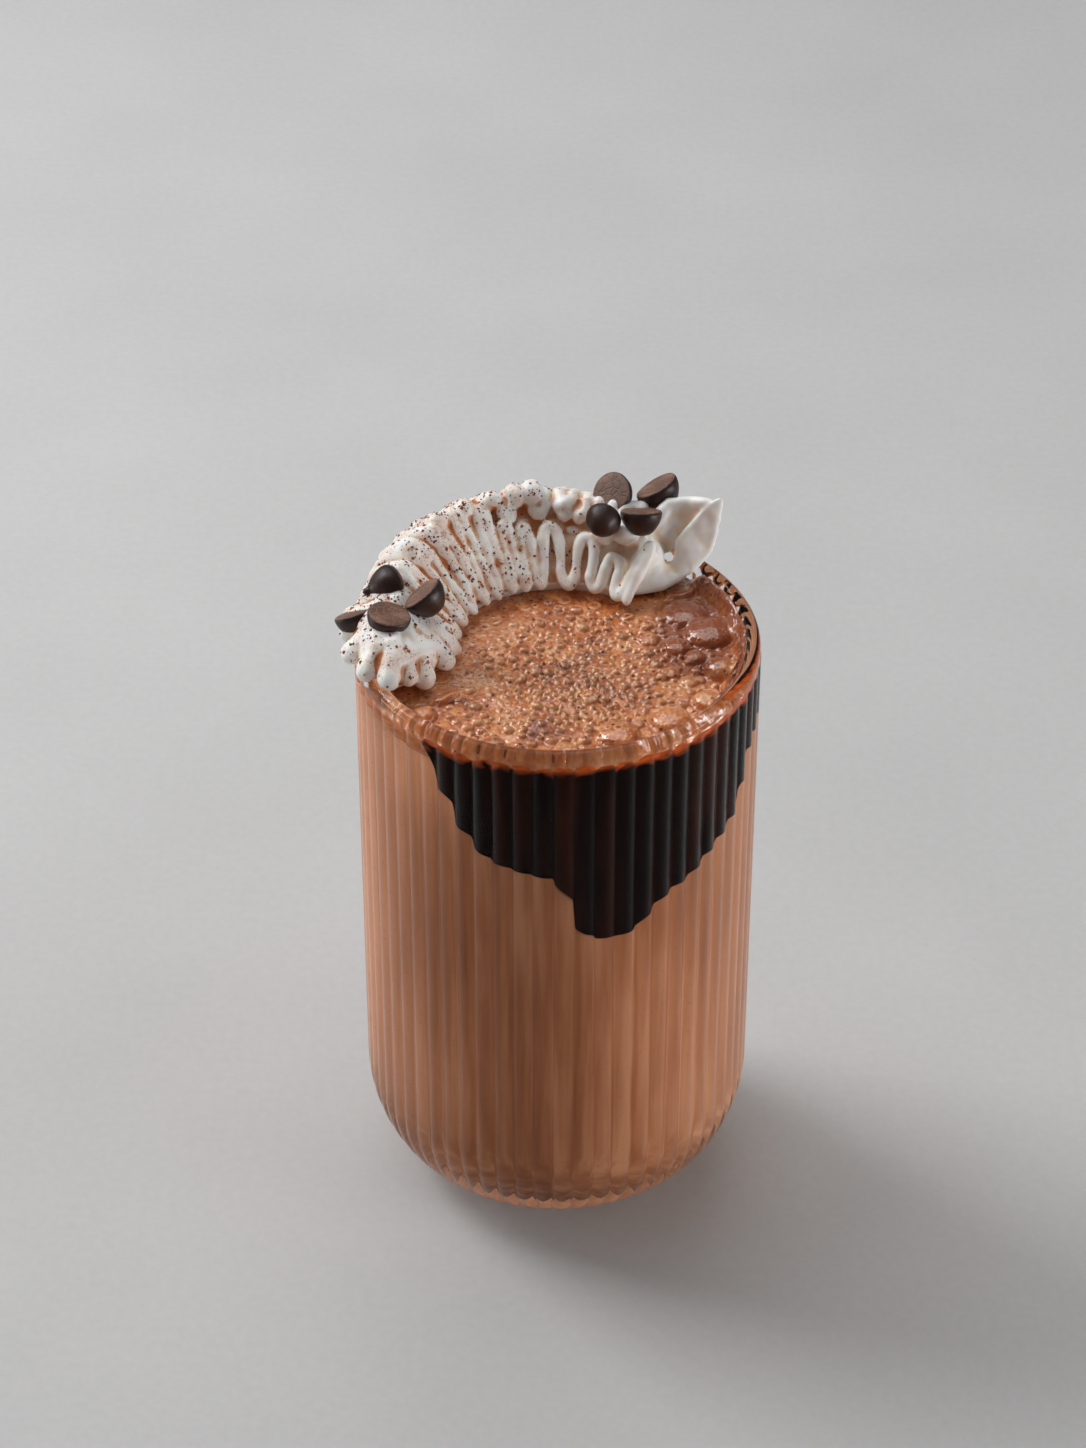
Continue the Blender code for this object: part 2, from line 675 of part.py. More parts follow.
def main():
    clear_scene()
    parts = new_collection("chocolate_milkshake")
    cutters = new_collection("cutters")
    make_glass(parts, cutters, material("clear_glass", (0.95, 0.96, 0.96), 0.03, transmission=1.0))
    make_syrup("syrup", parts, material("chocolate_syrup", (0.025, 0.006, 0.004), 0.12))
    syrup_cutter = make_syrup("syrup_cutter", cutters, grow=GAP)
    make_shake(parts, syrup_cutter, material("chocolate_milk", (0.42, 0.22, 0.14), 0.4))
    make_froth(parts, syrup_cutter, material("froth", (0.45, 0.22, 0.13), 0.25))
    chocolate = material("dark_chocolate", (0.06, 0.03, 0.022), 0.45)
    chip_cutters = []
    for name, *shape in CHIPS:
        make_chip(name, *shape, parts, chocolate)
        chip_cutters.append(make_chip("cut_" + name, *shape, cutters, grow=GAP))
    make_cream(parts, cutters, chip_cutters, material("whipped_cream", (0.86, 0.82, 0.75), 0.45))


main()
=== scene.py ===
"""A chocolate milkshake in a ribbed tumbler: the looks of every surface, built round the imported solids."""

import math

import bmesh
import bpy
import numpy as np
from mathutils import Matrix, Vector, noise


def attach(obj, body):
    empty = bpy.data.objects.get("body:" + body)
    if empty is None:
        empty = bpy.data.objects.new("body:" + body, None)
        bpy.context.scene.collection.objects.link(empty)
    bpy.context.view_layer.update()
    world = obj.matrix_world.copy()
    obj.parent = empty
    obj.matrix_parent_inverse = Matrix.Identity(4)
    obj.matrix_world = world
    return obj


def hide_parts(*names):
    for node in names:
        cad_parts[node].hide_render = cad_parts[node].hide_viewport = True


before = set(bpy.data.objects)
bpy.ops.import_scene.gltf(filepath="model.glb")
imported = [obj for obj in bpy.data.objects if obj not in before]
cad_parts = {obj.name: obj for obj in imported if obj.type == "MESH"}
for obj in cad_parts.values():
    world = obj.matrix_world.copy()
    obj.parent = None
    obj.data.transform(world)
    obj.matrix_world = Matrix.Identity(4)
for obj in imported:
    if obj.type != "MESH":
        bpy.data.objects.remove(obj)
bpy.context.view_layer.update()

# The tumbler: clear pressed glass, 62 upright ribs outside and a smooth bore, with a fire-polished lip.
# It is turned from one profile, and the ribs are what is left between narrow grooves. Sizes in this file are
# in mm unless a comment says otherwise.
MM = 0.001
GLASS_RADIUS = 38.0
GLASS_HEIGHT = 124.5
FOOT_RADIUS = 16.3
CORNER_HEIGHT = 24.0
BORE_RADIUS = 34.9
BASE_THICKNESS = 9.2
BORE_CORNER_TOP = 27.2
RIB_COUNT = 62
POINTS_PER_RIB = 12
RIB_DEPTH = 0.6
RIB_TURN = math.radians(1.6)
RIBS_END = GLASS_HEIGHT - 2.6
RIB_FADE = 1.2
FOOT_GROOVE_SHARE = 0.35
FOOT_GROOVE_FADE = 6.0
LIP_STEP = 0.2
FLOOR_RING = 8.0
AROUND = RIB_COUNT * POINTS_PER_RIB


class Value:
    """What a node gives out. Sums, differences and products of values add their own Math nodes."""

    def __init__(self, finish, socket):
        self.finish = finish
        self.socket = socket

    def math(self, operation, first, second=0.0):
        return self.finish.node("ShaderNodeMath", {"operation": operation}, {0: first, 1: second})

    def __add__(self, other):
        return self.math("ADD", self, other)

    def __sub__(self, other):
        return self.math("SUBTRACT", self, other)

    def __rsub__(self, other):
        return self.math("SUBTRACT", other, self)

    def __mul__(self, other):
        return self.math("MULTIPLY", self, other)

    def clamped(self):
        return self.finish.node("ShaderNodeClamp", {}, {0: self})

    __radd__ = __add__
    __rmul__ = __mul__


class Finish:
    """A material whose nodes are made one by one. Constants go straight on the shader's sockets."""

    def __init__(self, name, **constants):
        self.material = bpy.data.materials.new(name)
        self.material.use_nodes = True
        self.tree = self.material.node_tree
        self.shader = self.tree.nodes["Principled BSDF"]
        for socket, value in constants.items():
            self.feed(self.shader.inputs[socket.replace("_", " ")], value)

    def feed(self, socket, value):
        if isinstance(value, Value):
            self.tree.links.new(value.socket, socket)
        elif socket.type == "RGBA" and len(value) == 3:
            socket.default_value = (*value, 1.0)
        else:
            socket.default_value = value

    def node(self, kind, settings, sockets, output=0):
        made = self.tree.nodes.new(kind)
        for key, value in settings.items():
            if key == "stops":
                self.set_stops(made.color_ramp.elements, value)
            else:
                setattr(made, key, value)
        for key, value in sockets.items():
            self.feed(made.inputs[key], value)
        return Value(self, made.outputs[output])

    def set_stops(self, elements, stops):
        while len(elements) < len(stops):
            elements.new(0.5)
        for element, (place, shade) in zip(elements, stops):
            element.position = place
            element.color = (*shade, 1.0) if isinstance(shade, tuple) else (shade, shade, shade, 1.0)

    def place(self):
        """Where on the piece a point is, in metres."""
        return self.node("ShaderNodeTexCoord", {}, {}, "Object")

    def place_along(self, axis):
        """How far along x, y or z a point is, in metres, for axis 0, 1 or 2."""
        return self.node("ShaderNodeSeparateXYZ", {}, {0: self.place()}, axis)

    def noise(self, per_metre, detail=3.0, stretch=(1.0, 1.0, 1.0), roughness=0.5):
        stretched = self.node("ShaderNodeMapping", {}, {"Vector": self.place(), "Scale": stretch})
        sockets = {"Vector": stretched, "Scale": per_metre, "Detail": detail, "Roughness": roughness}
        return self.node("ShaderNodeTexNoise", {}, sockets)

    def cells(self, per_metre, feature="F1"):
        sockets = {"Vector": self.place(), "Scale": per_metre}
        return self.node("ShaderNodeTexVoronoi", {"feature": feature}, sockets)

    def stored(self, name):
        """A value that the mesh holds at each point."""
        return self.node("ShaderNodeAttribute", {"attribute_name": name}, {}, "Fac")

    def ramp(self, factor, *stops):
        return self.node("ShaderNodeValToRGB", {"stops": stops}, {"Fac": factor})

    def mix(self, factor, first, second):
        """A mix of two colours. Sockets 6 and 7 take the colours, and output 2 gives the mixed one."""
        return self.node("ShaderNodeMix", {"data_type": "RGBA"}, {0: factor, 6: first, 7: second}, 2)

    def bump(self, height, strength, distance):
        """Fine relief for the light only. Distance is in metres."""
        sockets = {"Height": height, "Strength": strength, "Distance": distance}
        self.set(Normal=self.node("ShaderNodeBump", {}, sockets))

    def set(self, **inputs):
        for socket, value in inputs.items():
            self.feed(self.shader.inputs[socket.replace("_", " ")], value)


def placed(name, data):
    """A new object in the scene, made from a mesh, a curve, a lamp or a camera."""
    made = bpy.data.objects.new(name, data)
    bpy.context.scene.collection.objects.link(made)
    return made


def piece(name, mesh, finish, slot, *nodes, stand=None):
    """A smooth shaded object on the root body, turned and moved by stand, for the CAD nodes named."""
    made = placed(name, mesh)
    if stand is not None:
        made.matrix_world = stand
    mesh.materials.clear()
    mesh.materials.append(finish.material)
    mesh.shade_smooth()
    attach(made, "root")
    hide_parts(*nodes)


def ease(low, high, value):
    """0 at low, 1 at high, with a soft step between, for numbers and arrays."""
    share = np.clip((value - low) / (high - low), 0.0, 1.0)
    return share * share * (3 - 2 * share)


def corner(inner, outer, low, high, steps):
    """A quarter ellipse as (radius, height), from the upright wall down to the flat floor."""
    turns = np.linspace(math.pi / 2, 0.0, steps + 1)
    return [(inner + (outer - inner) * math.sin(t), high - (high - low) * math.cos(t)) for t in turns]


def mesh_of(name, points, faces):
    """A mesh from points in mm."""
    mesh = bpy.data.meshes.new(name)
    mesh.from_pydata([tuple(c * MM for c in point) for point in points], [], faces)
    return mesh


def turned(name, profile, around, start_turn=0.0):
    """A closed mesh turned about Z from (radius, height) points in mm; the first and last are on the axis."""
    turns = start_turn + np.arange(around) * math.tau / around
    rings = profile[1:-1]
    points = [(0.0, 0.0, profile[0][1])]
    for radius, height in rings:
        points += [(radius * math.cos(t), radius * math.sin(t), height) for t in turns]
    points.append((0.0, 0.0, profile[-1][1]))
    last = len(points) - 1
    faces = []
    for i in range(around):
        j = (i + 1) % around
        faces.append((0, 1 + i, 1 + j))
        for ring in range(len(rings) - 1):
            upper, lower = 1 + ring * around, 1 + (ring + 1) * around
            faces.append((upper + i, lower + i, lower + j, upper + j))
        faces.append((last - around + i, last, last - around + j))
    return mesh_of(name, points, faces)


def vertex_rows(mesh, what):
    """The place or the normal of each of the mesh's points, as rows of x, y, z."""
    flat = np.empty(len(mesh.vertices) * 3)
    mesh.vertices.foreach_get(what, flat)
    return flat.reshape(-1, 3)


def point_array(mesh):
    """The mesh's points as rows of x, y, z in mm."""
    return vertex_rows(mesh, "co") / MM


def set_points(mesh, points):
    mesh.vertices.foreach_set("co", (np.asarray(points) * MM).ravel())
    mesh.update()


def groove_depth(points):
    """How far each outer point lies below its rib's crest. The lip isn't cut, and the foot is cut less."""
    turn = (np.arctan2(points[:, 1], points[:, 0]) - RIB_TURN) * RIB_COUNT / math.tau
    from_groove = np.abs(turn - np.round(turn))
    depth = RIB_DEPTH * (1 - 2 * from_groove) ** 2
    depth *= 1 - ease(RIBS_END - RIB_FADE, RIBS_END, points[:, 2])
    return depth * (FOOT_GROOVE_SHARE + (1 - FOOT_GROOVE_SHARE) * ease(0.0, FOOT_GROOVE_FADE, points[:, 2]))


def round_over(centre, radii, first, last, steps=7):
    """An arc of the lip as (radius, height), between two angles in degrees."""
    turns = np.radians(np.linspace(first, last, steps))
    return [(centre[0] + radii[0] * math.cos(t), centre[1] + radii[1] * math.sin(t)) for t in turns]


outer_wall = [(GLASS_RADIUS - LIP_STEP + LIP_STEP * k / 5, RIBS_END - RIB_FADE * k / 5) for k in range(6)]
outer_wall += [(GLASS_RADIUS, height) for height in (112.0, 95.0, 78.0, 60.0, 42.0)]
outer_wall += corner(FOOT_RADIUS, GLASS_RADIUS, 0.0, CORNER_HEIGHT, 20)
bore_wall = corner(FOOT_RADIUS, BORE_RADIUS, BASE_THICKNESS, BORE_CORNER_TOP, 16)[::-1]
bore_wall += [(BORE_RADIUS, height) for height in (45.0, 70.0, 95.0, 115.0, 121.0)]
lip = round_over((36.1, GLASS_HEIGHT - 1.7), (1.2, 1.7), 180, 92)
lip += round_over((36.5, GLASS_HEIGHT - 1.4), (1.3, 1.4), 88, 0)
glass_profile = [(0.0, BASE_THICKNESS), (FLOOR_RING, BASE_THICKNESS), *bore_wall, *lip, *outer_wall]
glass_profile += [(FLOOR_RING, 0.0), (0.0, 0.0)]
glass_mesh = turned("glass", glass_profile, AROUND, RIB_TURN)
wall_points = point_array(glass_mesh)
reach = np.hypot(wall_points[:, 0], wall_points[:, 1])
on_outside = np.arange(len(reach)) > 1 + (1 + len(bore_wall) + len(lip)) * AROUND
on_outside &= reach > FOOT_RADIUS - 0.01
shrink = 1 - np.where(on_outside, groove_depth(wall_points), 0.0) / np.maximum(reach, 1.0)
wall_points[:, :2] *= shrink[:, None]
set_points(glass_mesh, wall_points)

clear_glass = Finish(
    "clear_glass",
    Base_Color=(0.975, 0.985, 0.98),
    IOR=1.5,
    Transmission_Weight=1.0,
    Specular_IOR_Level=0.3,
    Specular_Tint=(0.11, 0.09, 0.08),
)
handling_marks = clear_glass.noise(90, 4, (1.0, 1.0, 0.35))
clear_glass.set(Roughness=handling_marks * 0.03 + 0.004)
clear_glass.bump(clear_glass.noise(70, 2, (1.0, 1.0, 0.12)), 0.12, 0.0004)
for_lamps = clear_glass.node("ShaderNodeBsdfTransparent", {}, {0: (0.93, 0.93, 0.93)})
lamp_ray = clear_glass.node("ShaderNodeLightPath", {}, {}, "Is Shadow Ray")
glass_shader = Value(clear_glass, clear_glass.shader.outputs[0])
lets_through = clear_glass.ramp(clear_glass.place_along(2) * 60, (0.3, 0.2), (0.8, 1.0))
seen_glass = clear_glass.node(
    "ShaderNodeMixShader", {}, {0: lamp_ray * lets_through, 1: glass_shader, 2: for_lamps}
)
clear_glass.feed(clear_glass.tree.nodes["Material Output"].inputs["Surface"], seen_glass)
piece("tumbler", glass_mesh, clear_glass, "clear_glass", "glass")

# The shake: thick chocolate milk that fills the bore, poured in before the rest, with fine streaks of cocoa
# and small bubbles held against the wall. It reaches a little into the glass, so that no air shows between.
SHAKE_REACH = 0.1
SHAKE_TOP = 118.4
SHAKE_BOTTOM = BASE_THICKNESS - SHAKE_REACH
SHAKE_RADIUS = BORE_RADIUS + SHAKE_REACH
SHAKE_AROUND = 248

shake_profile = [(0.0, SHAKE_TOP), (SHAKE_RADIUS, SHAKE_TOP)]
shake_profile += [(SHAKE_RADIUS, height) for height in (100.0, 80.0, 60.0, 40.0)]
shake_profile += corner(FOOT_RADIUS, SHAKE_RADIUS, SHAKE_BOTTOM, BORE_CORNER_TOP, 16)
shake_profile += [(FLOOR_RING, SHAKE_BOTTOM), (0.0, SHAKE_BOTTOM)]

chocolate_milk = Finish("chocolate_milk", Roughness=0.6, Specular_IOR_Level=0.0)
cloud = chocolate_milk.noise(38, 4, (1.0, 1.0, 0.45))
streak = chocolate_milk.noise(560, 3, (1.0, 1.0, 0.03))
milk_tone = cloud * 0.45 + streak * 0.55
milk_shade = chocolate_milk.ramp(
    milk_tone, (0.36, (0.25, 0.085, 0.035)), (0.5, (0.39, 0.145, 0.064)), (0.64, (0.55, 0.25, 0.13))
)
# Painted reflection: the milk is painted lighter and greyer towards its left and right sides, where the glass
# shows the bright room at a grazing angle.
across = chocolate_milk.place_along(0)
painted_side_sheen = chocolate_milk.ramp(across * across * 820, (0.2, 0.0), (0.95, 1.0))
milk_shade = chocolate_milk.mix(painted_side_sheen * 0.5, milk_shade, (0.56, 0.31, 0.2))
tiny_bubbles = chocolate_milk.ramp(chocolate_milk.cells(1100), (0.1, 1.0), (0.2, 0.0))
chocolate_milk.set(Base_Color=chocolate_milk.mix(tiny_bubbles * 0.3, milk_shade, (0.16, 0.07, 0.04)))
chocolate_milk.bump(streak, 0.2, 0.0003)
shake_mesh = turned("shake", shake_profile, SHAKE_AROUND)
piece("shake_body", shake_mesh, chocolate_milk, "chocolate_milk", "shake")

# The syrup: dark chocolate sauce that was run down the inside of the wall before the shake went in.
# It is a thick skin on the bore with a long tongue at the front, and the light that glows through its thin top
# edge is painted into its colour.
SYRUP_REACH = 0.25
SYRUP_TOP = 120.6
SYRUP_THICKNESS = 4.2
SYRUP_EDGE = 1.0
SYRUP_WAVE = 0.35
SYRUP_LEAST_HEIGHT = 0.6
# How far from each end the syrup thins out, in degrees
SYRUP_TAPERS = (20, 35)
SYRUP_ROWS = 26
SYRUP_COLUMNS = 420
# Lower edge on the bore as (azimuth in degrees from +X towards +Y, height in mm)
SYRUP_LOWER_EDGE = (
    (-132, 120.0),
    (-129, 114.2),
    (-126, 111.0),
    (-123, 108.5),
    (-119.5, 103.5),
    (-116, 101.8),
    (-113, 99.0),
    (-108, 97.4),
    (-103, 96.6),
    (-97, 95.7),
    (-91.5, 95.1),
    (-88.5, 92.2),
    (-86, 89.5),
    (-84.5, 83.6),
    (-82, 81.8),
    (-78, 80.4),
    (-72, 80.3),
    (-67, 80.8),
    (-64, 82.8),
    (-60.5, 85.2),
    (-55, 87.6),
    (-48, 88.7),
    (-41, 91.2),
    (-34, 93.2),
    (-27.5, 95.2),
    (-22.5, 98.6),
    (-19, 105.2),
    (-14, 106.4),
    (10, 111.0),
    (46, 117.8),
)


def on_ring(azimuth, radius, height):
    """x, y and z from an azimuth in degrees, a radius and a height, for numbers and arrays."""
    turn = np.radians(azimuth)
    return radius * np.cos(turn), radius * np.sin(turn), height


def syrup_grid():
    """Rows of (radius, azimuth, height) from the wall side's top, down it and up the inner side."""
    table = np.array(SYRUP_LOWER_EDGE)
    azimuth = np.linspace(table[0, 0], table[-1, 0], SYRUP_COLUMNS)
    low = np.interp(azimuth, table[:, 0], table[:, 1])
    wave = SYRUP_WAVE * np.sin(azimuth / 2.1) * np.sin(azimuth / 5.3 + 1.0)
    top = SYRUP_TOP + wave - 1.4 * ease(10, 30, azimuth)
    low = np.minimum(low, top - SYRUP_LEAST_HEIGHT)
    body = ease(table[0, 0], table[0, 0] + SYRUP_TAPERS[0], azimuth)
    body *= ease(table[-1, 0], table[-1, 0] - SYRUP_TAPERS[1], azimuth)
    wall = BORE_RADIUS + SYRUP_REACH
    rows = []
    for k in range(SYRUP_ROWS + 1):
        share = k / SYRUP_ROWS
        rows.append((np.full_like(azimuth, wall), azimuth, top + (low - top) * share))
    for k in range(SYRUP_ROWS, -1, -1):
        share = k / SYRUP_ROWS
        bulge = abs(math.sin(math.pi * share)) ** 0.7
        depth = SYRUP_EDGE * 0.6 + (SYRUP_THICKNESS - SYRUP_EDGE) * bulge * body
        rows.append((wall - SYRUP_REACH - depth, azimuth, top + (low - top) * share))
    return rows


def faced_out(mesh):
    """The same mesh with all its faces turned outwards."""
    shape = bmesh.new()
    shape.from_mesh(mesh)
    bmesh.ops.recalc_face_normals(shape, faces=shape.faces)
    shape.to_mesh(mesh)
    shape.free()
    return mesh


def lofted(name, rows):
    """A closed mesh from a tube of (radius, azimuth, height) rows, filled at both ends."""
    points, count = [], len(rows[0][0])
    for radius, azimuth, height in rows:
        points += zip(*on_ring(azimuth, radius, height))
    faces = []
    for k in range(len(rows)):
        here, following = k * count, (k + 1) % len(rows) * count
        for i in range(count - 1):
            faces.append((here + i, here + i + 1, following + i + 1, following + i))
    starts = [k * count for k in range(len(rows))]
    faces.append(tuple(starts))
    faces.append(tuple(start + count - 1 for start in reversed(starts)))
    return faced_out(mesh_of(name, points, faces))


syrup = Finish("chocolate_syrup", Specular_IOR_Level=0.0)
# Painted light: the syrup's colour turns orange-red along its ragged top edge, where light would glow through
# the thin edge.
ragged = syrup.noise(480, 3) * 0.0045
painted_edge_glow = syrup.ramp((syrup.place_along(2) + ragged - 0.1209) * 420, (0.0, 0.0), (0.3, 0.35), (0.75, 1.0))
# Red-brown patches in the dark syrup: partly its own tone, partly painted glints of reflected light.
red_tone_and_glints = syrup.ramp(syrup.noise(260, 3, (1.0, 1.0, 0.08)), (0.5, 0.0), (0.72, 1.0))
deep = syrup.mix(red_tone_and_glints * 0.6, (0.003, 0.0008, 0.0005), (0.045, 0.007, 0.002))
syrup.set(Base_Color=syrup.mix(painted_edge_glow, deep, (0.5, 0.085, 0.016)))
specks = syrup.ramp(syrup.cells(900), (0.05, 1.0), (0.12, 0.0))
syrup.set(Roughness=specks * 0.3 + 0.1)
syrup.bump(specks, 0.3, 0.0002)
piece("syrup_skin", lofted("syrup", syrup_grid()), syrup, "chocolate_syrup", "syrup")

# The froth: a raft of small wet bubbles on the drink that climbs the wall where no cream lies, with blisters
# of sauce at the right and large thin bubbles near the rim. It was whipped in, and left as it settled.
FROTH_LEVEL = 120.3
FROTH_BOTTOM = 117.0
FROTH_REACH = 0.2
FROTH_GRID = 300
FROTH_CLIMB = 2.3
UNDER_CREAM_CLIMB = 2.8
# Blisters as (x, y, radius, rise) in mm
BLISTERS = (
    (30.3, -5.6, 3.3, 2.2),
    (31.6, -11.0, 1.7, 1.2),
    (28.6, 6.6, 4.9, 1.7),
    (24.0, 13.0, 4.6, 1.1),
    (20.4, -20.8, 4.0, 1.5),
    (27.4, -15.4, 2.9, 1.5),
    (11.0, -25.5, 4.1, 1.4),
    (1.5, -31.0, 2.6, 1.3),
    (-21.6, -13.2, 3.2, 1.6),
    (-24.9, -19.4, 2.8, 1.3),
    (-12.0, -28.6, 2.4, 1.0),
    (23.5, 20.5, 2.9, 1.0),
    (17.0, 4.5, 2.2, 0.7),
    (6.0, -14.0, 2.0, 0.5),
    (-8.0, -8.0, 2.2, 0.5),
    (22.4, 2.0, 2.6, 0.9),
    (25.6, -1.4, 2.0, 0.9),
    (21.0, -6.5, 1.8, 0.7),
    (24.2, -9.4, 1.9, 0.8),
)
BUBBLE_TRIES = 9000
# Two small bubbles keep at least this share of their radii's sum between their centres
BUBBLE_SPACING = 0.96
BUBBLE_SPREAD = 34.3
BUBBLE_LIMIT = 34.2
draw = np.random.default_rng(41)


def disc_grid(count, radius):
    """Points of a square grid laid out over a disc, so that its cells stay alike in size."""
    steps = np.linspace(-1, 1, count + 1)
    a, b = (side.ravel() for side in np.meshgrid(steps, steps, indexing="ij"))
    wide = np.abs(a) > np.abs(b)
    size = np.where(wide, a, b)
    safe = np.where(size == 0, 1, size)
    turn = np.where(wide, math.pi / 4 * b / safe, math.pi / 2 - math.pi / 4 * a / safe)
    return radius * size * np.cos(turn), radius * size * np.sin(turn)


def cream_cover(x, y):
    """1 where the cream lies on the froth, 0 where the froth is open."""
    azimuth = np.degrees(np.arctan2(y, x)) % 360
    return ease(36, 44, azimuth) * ease(218, 211, azimuth) * ease(14, 16.5, np.hypot(x, y))


def sauce_share(x, y):
    """1 where sauce lies on the froth, in blisters and up the wall at the right, 0.6 along the wall at the
    front and front left, where the froth is darker, and 0 in the pale froth.
    """
    azimuth = np.degrees(np.arctan2(y, x))
    pool = ease(11.0, 5.0, np.hypot((x - 26) / 1.0, (y - 5) / 1.7)) * ease(12.0, 19.0, x)
    up_wall = ease(32.6, 34.2, np.hypot(x, y)) * ease(-58, -34, azimuth) * ease(60, 46, azimuth)
    # The froth along the wall at the front is darker, in the sauce's colour.
    front_wall = 0.6 * ease(32.9, 34.4, np.hypot(x, y)) * ease(-30, -50, azimuth)
    return np.maximum(np.maximum(pool, up_wall), front_wall)


def crowd_share(x, y):
    """How closely small bubbles lie: packed at the front and centre, few at the left and back."""
    return 0.15 + 0.85 * np.exp(-(((x - 3) / 19) ** 2) - ((y + 9) / 17) ** 2)


def bubble_places():
    """Seeded (x, y, radius, rise) of small bubbles that lie apart, touch, or press a little into each other."""
    tried = draw.uniform(-BUBBLE_SPREAD, BUBBLE_SPREAD, (BUBBLE_TRIES, 2))
    sizes = 0.5 + 0.85 * draw.random(BUBBLE_TRIES) ** 2
    luck = draw.random(BUBBLE_TRIES)
    crowd = crowd_share(tried[:, 0], tried[:, 1])
    found = np.empty((0, 4))
    for (x, y), size, share, chance in zip(tried, sizes, crowd, luck):
        size *= 1.15 - 0.25 * share
        near = np.hypot(found[:, 0] - x, found[:, 1] - y) < (found[:, 2] + size) * BUBBLE_SPACING
        if math.hypot(x, y) < BUBBLE_LIMIT and chance < share and not near.any():
            found = np.vstack((found, (x, y, size, size * (0.45 + 0.5 * share))))
    return found


def raise_domes(x, y, height, shade, domes, darkest):
    """Lifts the froth to each bubble's dome, with a crease round it, and sets shade for a painted highlight
    ring and painted shade at its top.
    """
    order = np.argsort(x)
    sorted_x = x[order]
    for bubble_x, bubble_y, size, rise in domes:
        span = size * 1.35
        low, high = np.searchsorted(sorted_x, (bubble_x - span, bubble_x + span))
        near = order[low:high]
        near = near[np.abs(y[near] - bubble_y) < span]
        away = np.hypot(x[near] - bubble_x, y[near] - bubble_y) / size
        inside = away < 1
        dome = rise * np.sqrt(np.clip(1 - away * away, 0, 1))
        crease = 0.22 * rise * np.exp(-(((away - 1.05) / 0.14) ** 2))
        height[near] = np.where(inside, np.maximum(height[near], dome), height[near]) - crease
        shade[near] = np.maximum(shade[near] - crease / rise, np.where(inside, (1 - away) * darkest, 0))


def wall_climb(azimuth):
    """How high the froth stands on the wall: burst bubbles left uneven arches, highest at the right."""
    starts = [-180.0]
    while starts[-1] < 180:
        starts.append(starts[-1] + draw.uniform(3.0, 8.5))
    peaks = draw.uniform(0.2, 1.0, len(starts))
    cell = np.clip(np.searchsorted(starts, azimuth, "right") - 1, 0, len(starts) - 2)
    starts = np.array(starts)
    share = (azimuth - starts[cell]) / (starts[cell + 1] - starts[cell])
    arch = peaks[cell] * np.sqrt(np.clip(np.sin(math.pi * share), 0, 1))
    right = ease(-60, -30, azimuth) * ease(60, 45, azimuth)
    return FROTH_CLIMB - 0.1 + arch * (1 - 0.75 * right) + 1.05 * right


def hold(mesh, name, values):
    """Stores a value at each of the mesh's points for its finish to read."""
    mesh.attributes.new(name, "FLOAT", "POINT").data.foreach_set("value", np.asarray(values, np.float32))


def froth_mesh():
    """The raft: fine squares lifted by swells, bubbles, blisters and the climb, over a flat bottom."""
    x, y = disc_grid(FROTH_GRID, BORE_RADIUS + FROTH_REACH)
    reach = np.hypot(x, y)
    height = 0.2 * np.sin(x / 5.3) * np.cos(y / 4.1 + 0.7) + 0.13 * np.sin(x / 1.9 + 2 * np.sin(y / 2.6))
    shade = np.zeros_like(x)
    raise_domes(x, y, height, shade, bubble_places(), 1.0)
    raise_domes(x, y, height, shade, BLISTERS, 0.06)
    height += wall_climb(np.degrees(np.arctan2(y, x))) * ease(BORE_RADIUS - 2.4, BORE_RADIUS, reach)
    cover = cream_cover(x, y)
    height = np.minimum(height, 0) * cover + height * (1 - cover)
    turn = np.degrees(np.arctan2(y, x)) % 360
    at_blunt_end = cover * ease(196, 206, turn) * ease(BORE_RADIUS - 0.2, BORE_RADIUS + 0.05, reach)
    height += UNDER_CREAM_CLIMB * at_blunt_end
    count = FROTH_GRID + 1
    grid = np.arange(count * count).reshape(count, count)
    squares = np.stack((grid[:-1, :-1], grid[1:, :-1], grid[1:, 1:], grid[:-1, 1:]), -1)
    faces = [tuple(square) for square in squares.reshape(-1, 4)]
    rim = [*grid[:, 0], *grid[-1, 1:], *grid[-2::-1, -1], *grid[0, -2:0:-1]]
    points = np.stack((x, y, FROTH_LEVEL + height), 1)
    below = points[rim].copy()
    below[:, 2] = FROTH_BOTTOM
    start = len(points)
    for i in range(len(rim)):
        j = (i + 1) % len(rim)
        faces.append((rim[j], rim[i], start + i, start + j))
    faces.append(tuple(range(start + len(rim) - 1, start - 1, -1)))
    mesh = faced_out(mesh_of("froth", np.vstack((points, below)), faces))
    for name, values in (("spot", shade), ("sauce", sauce_share(x, y)), ("crowd", crowd_share(x, y))):
        hold(mesh, name, np.concatenate((values, np.zeros(len(rim)))))
    return mesh


wet_froth = Finish("wet_froth", Specular_IOR_Level=0.45, Coat_IOR=1.4, Coat_Roughness=0.05)
patches = wet_froth.noise(110, 4)
fine = wet_froth.noise(900, 3)
curds = wet_froth.noise(330, 3)
tone = patches * 0.4 + curds * 0.35 + fine * 0.25
pale = wet_froth.ramp(
    tone,
    (0.38, (0.27, 0.058, 0.013)),
    (0.47, (0.57, 0.165, 0.046)),
    (0.55, (0.77, 0.29, 0.095)),
    (0.66, (0.93, 0.52, 0.25)),
)
sauce_mask = (wet_froth.stored("sauce") + (patches - 0.5) * 1.2).clamped()
frothy = wet_froth.mix(sauce_mask, pale, (0.28, 0.06, 0.012))
crowded = wet_froth.stored("crowd")
spot = wet_froth.stored("spot")
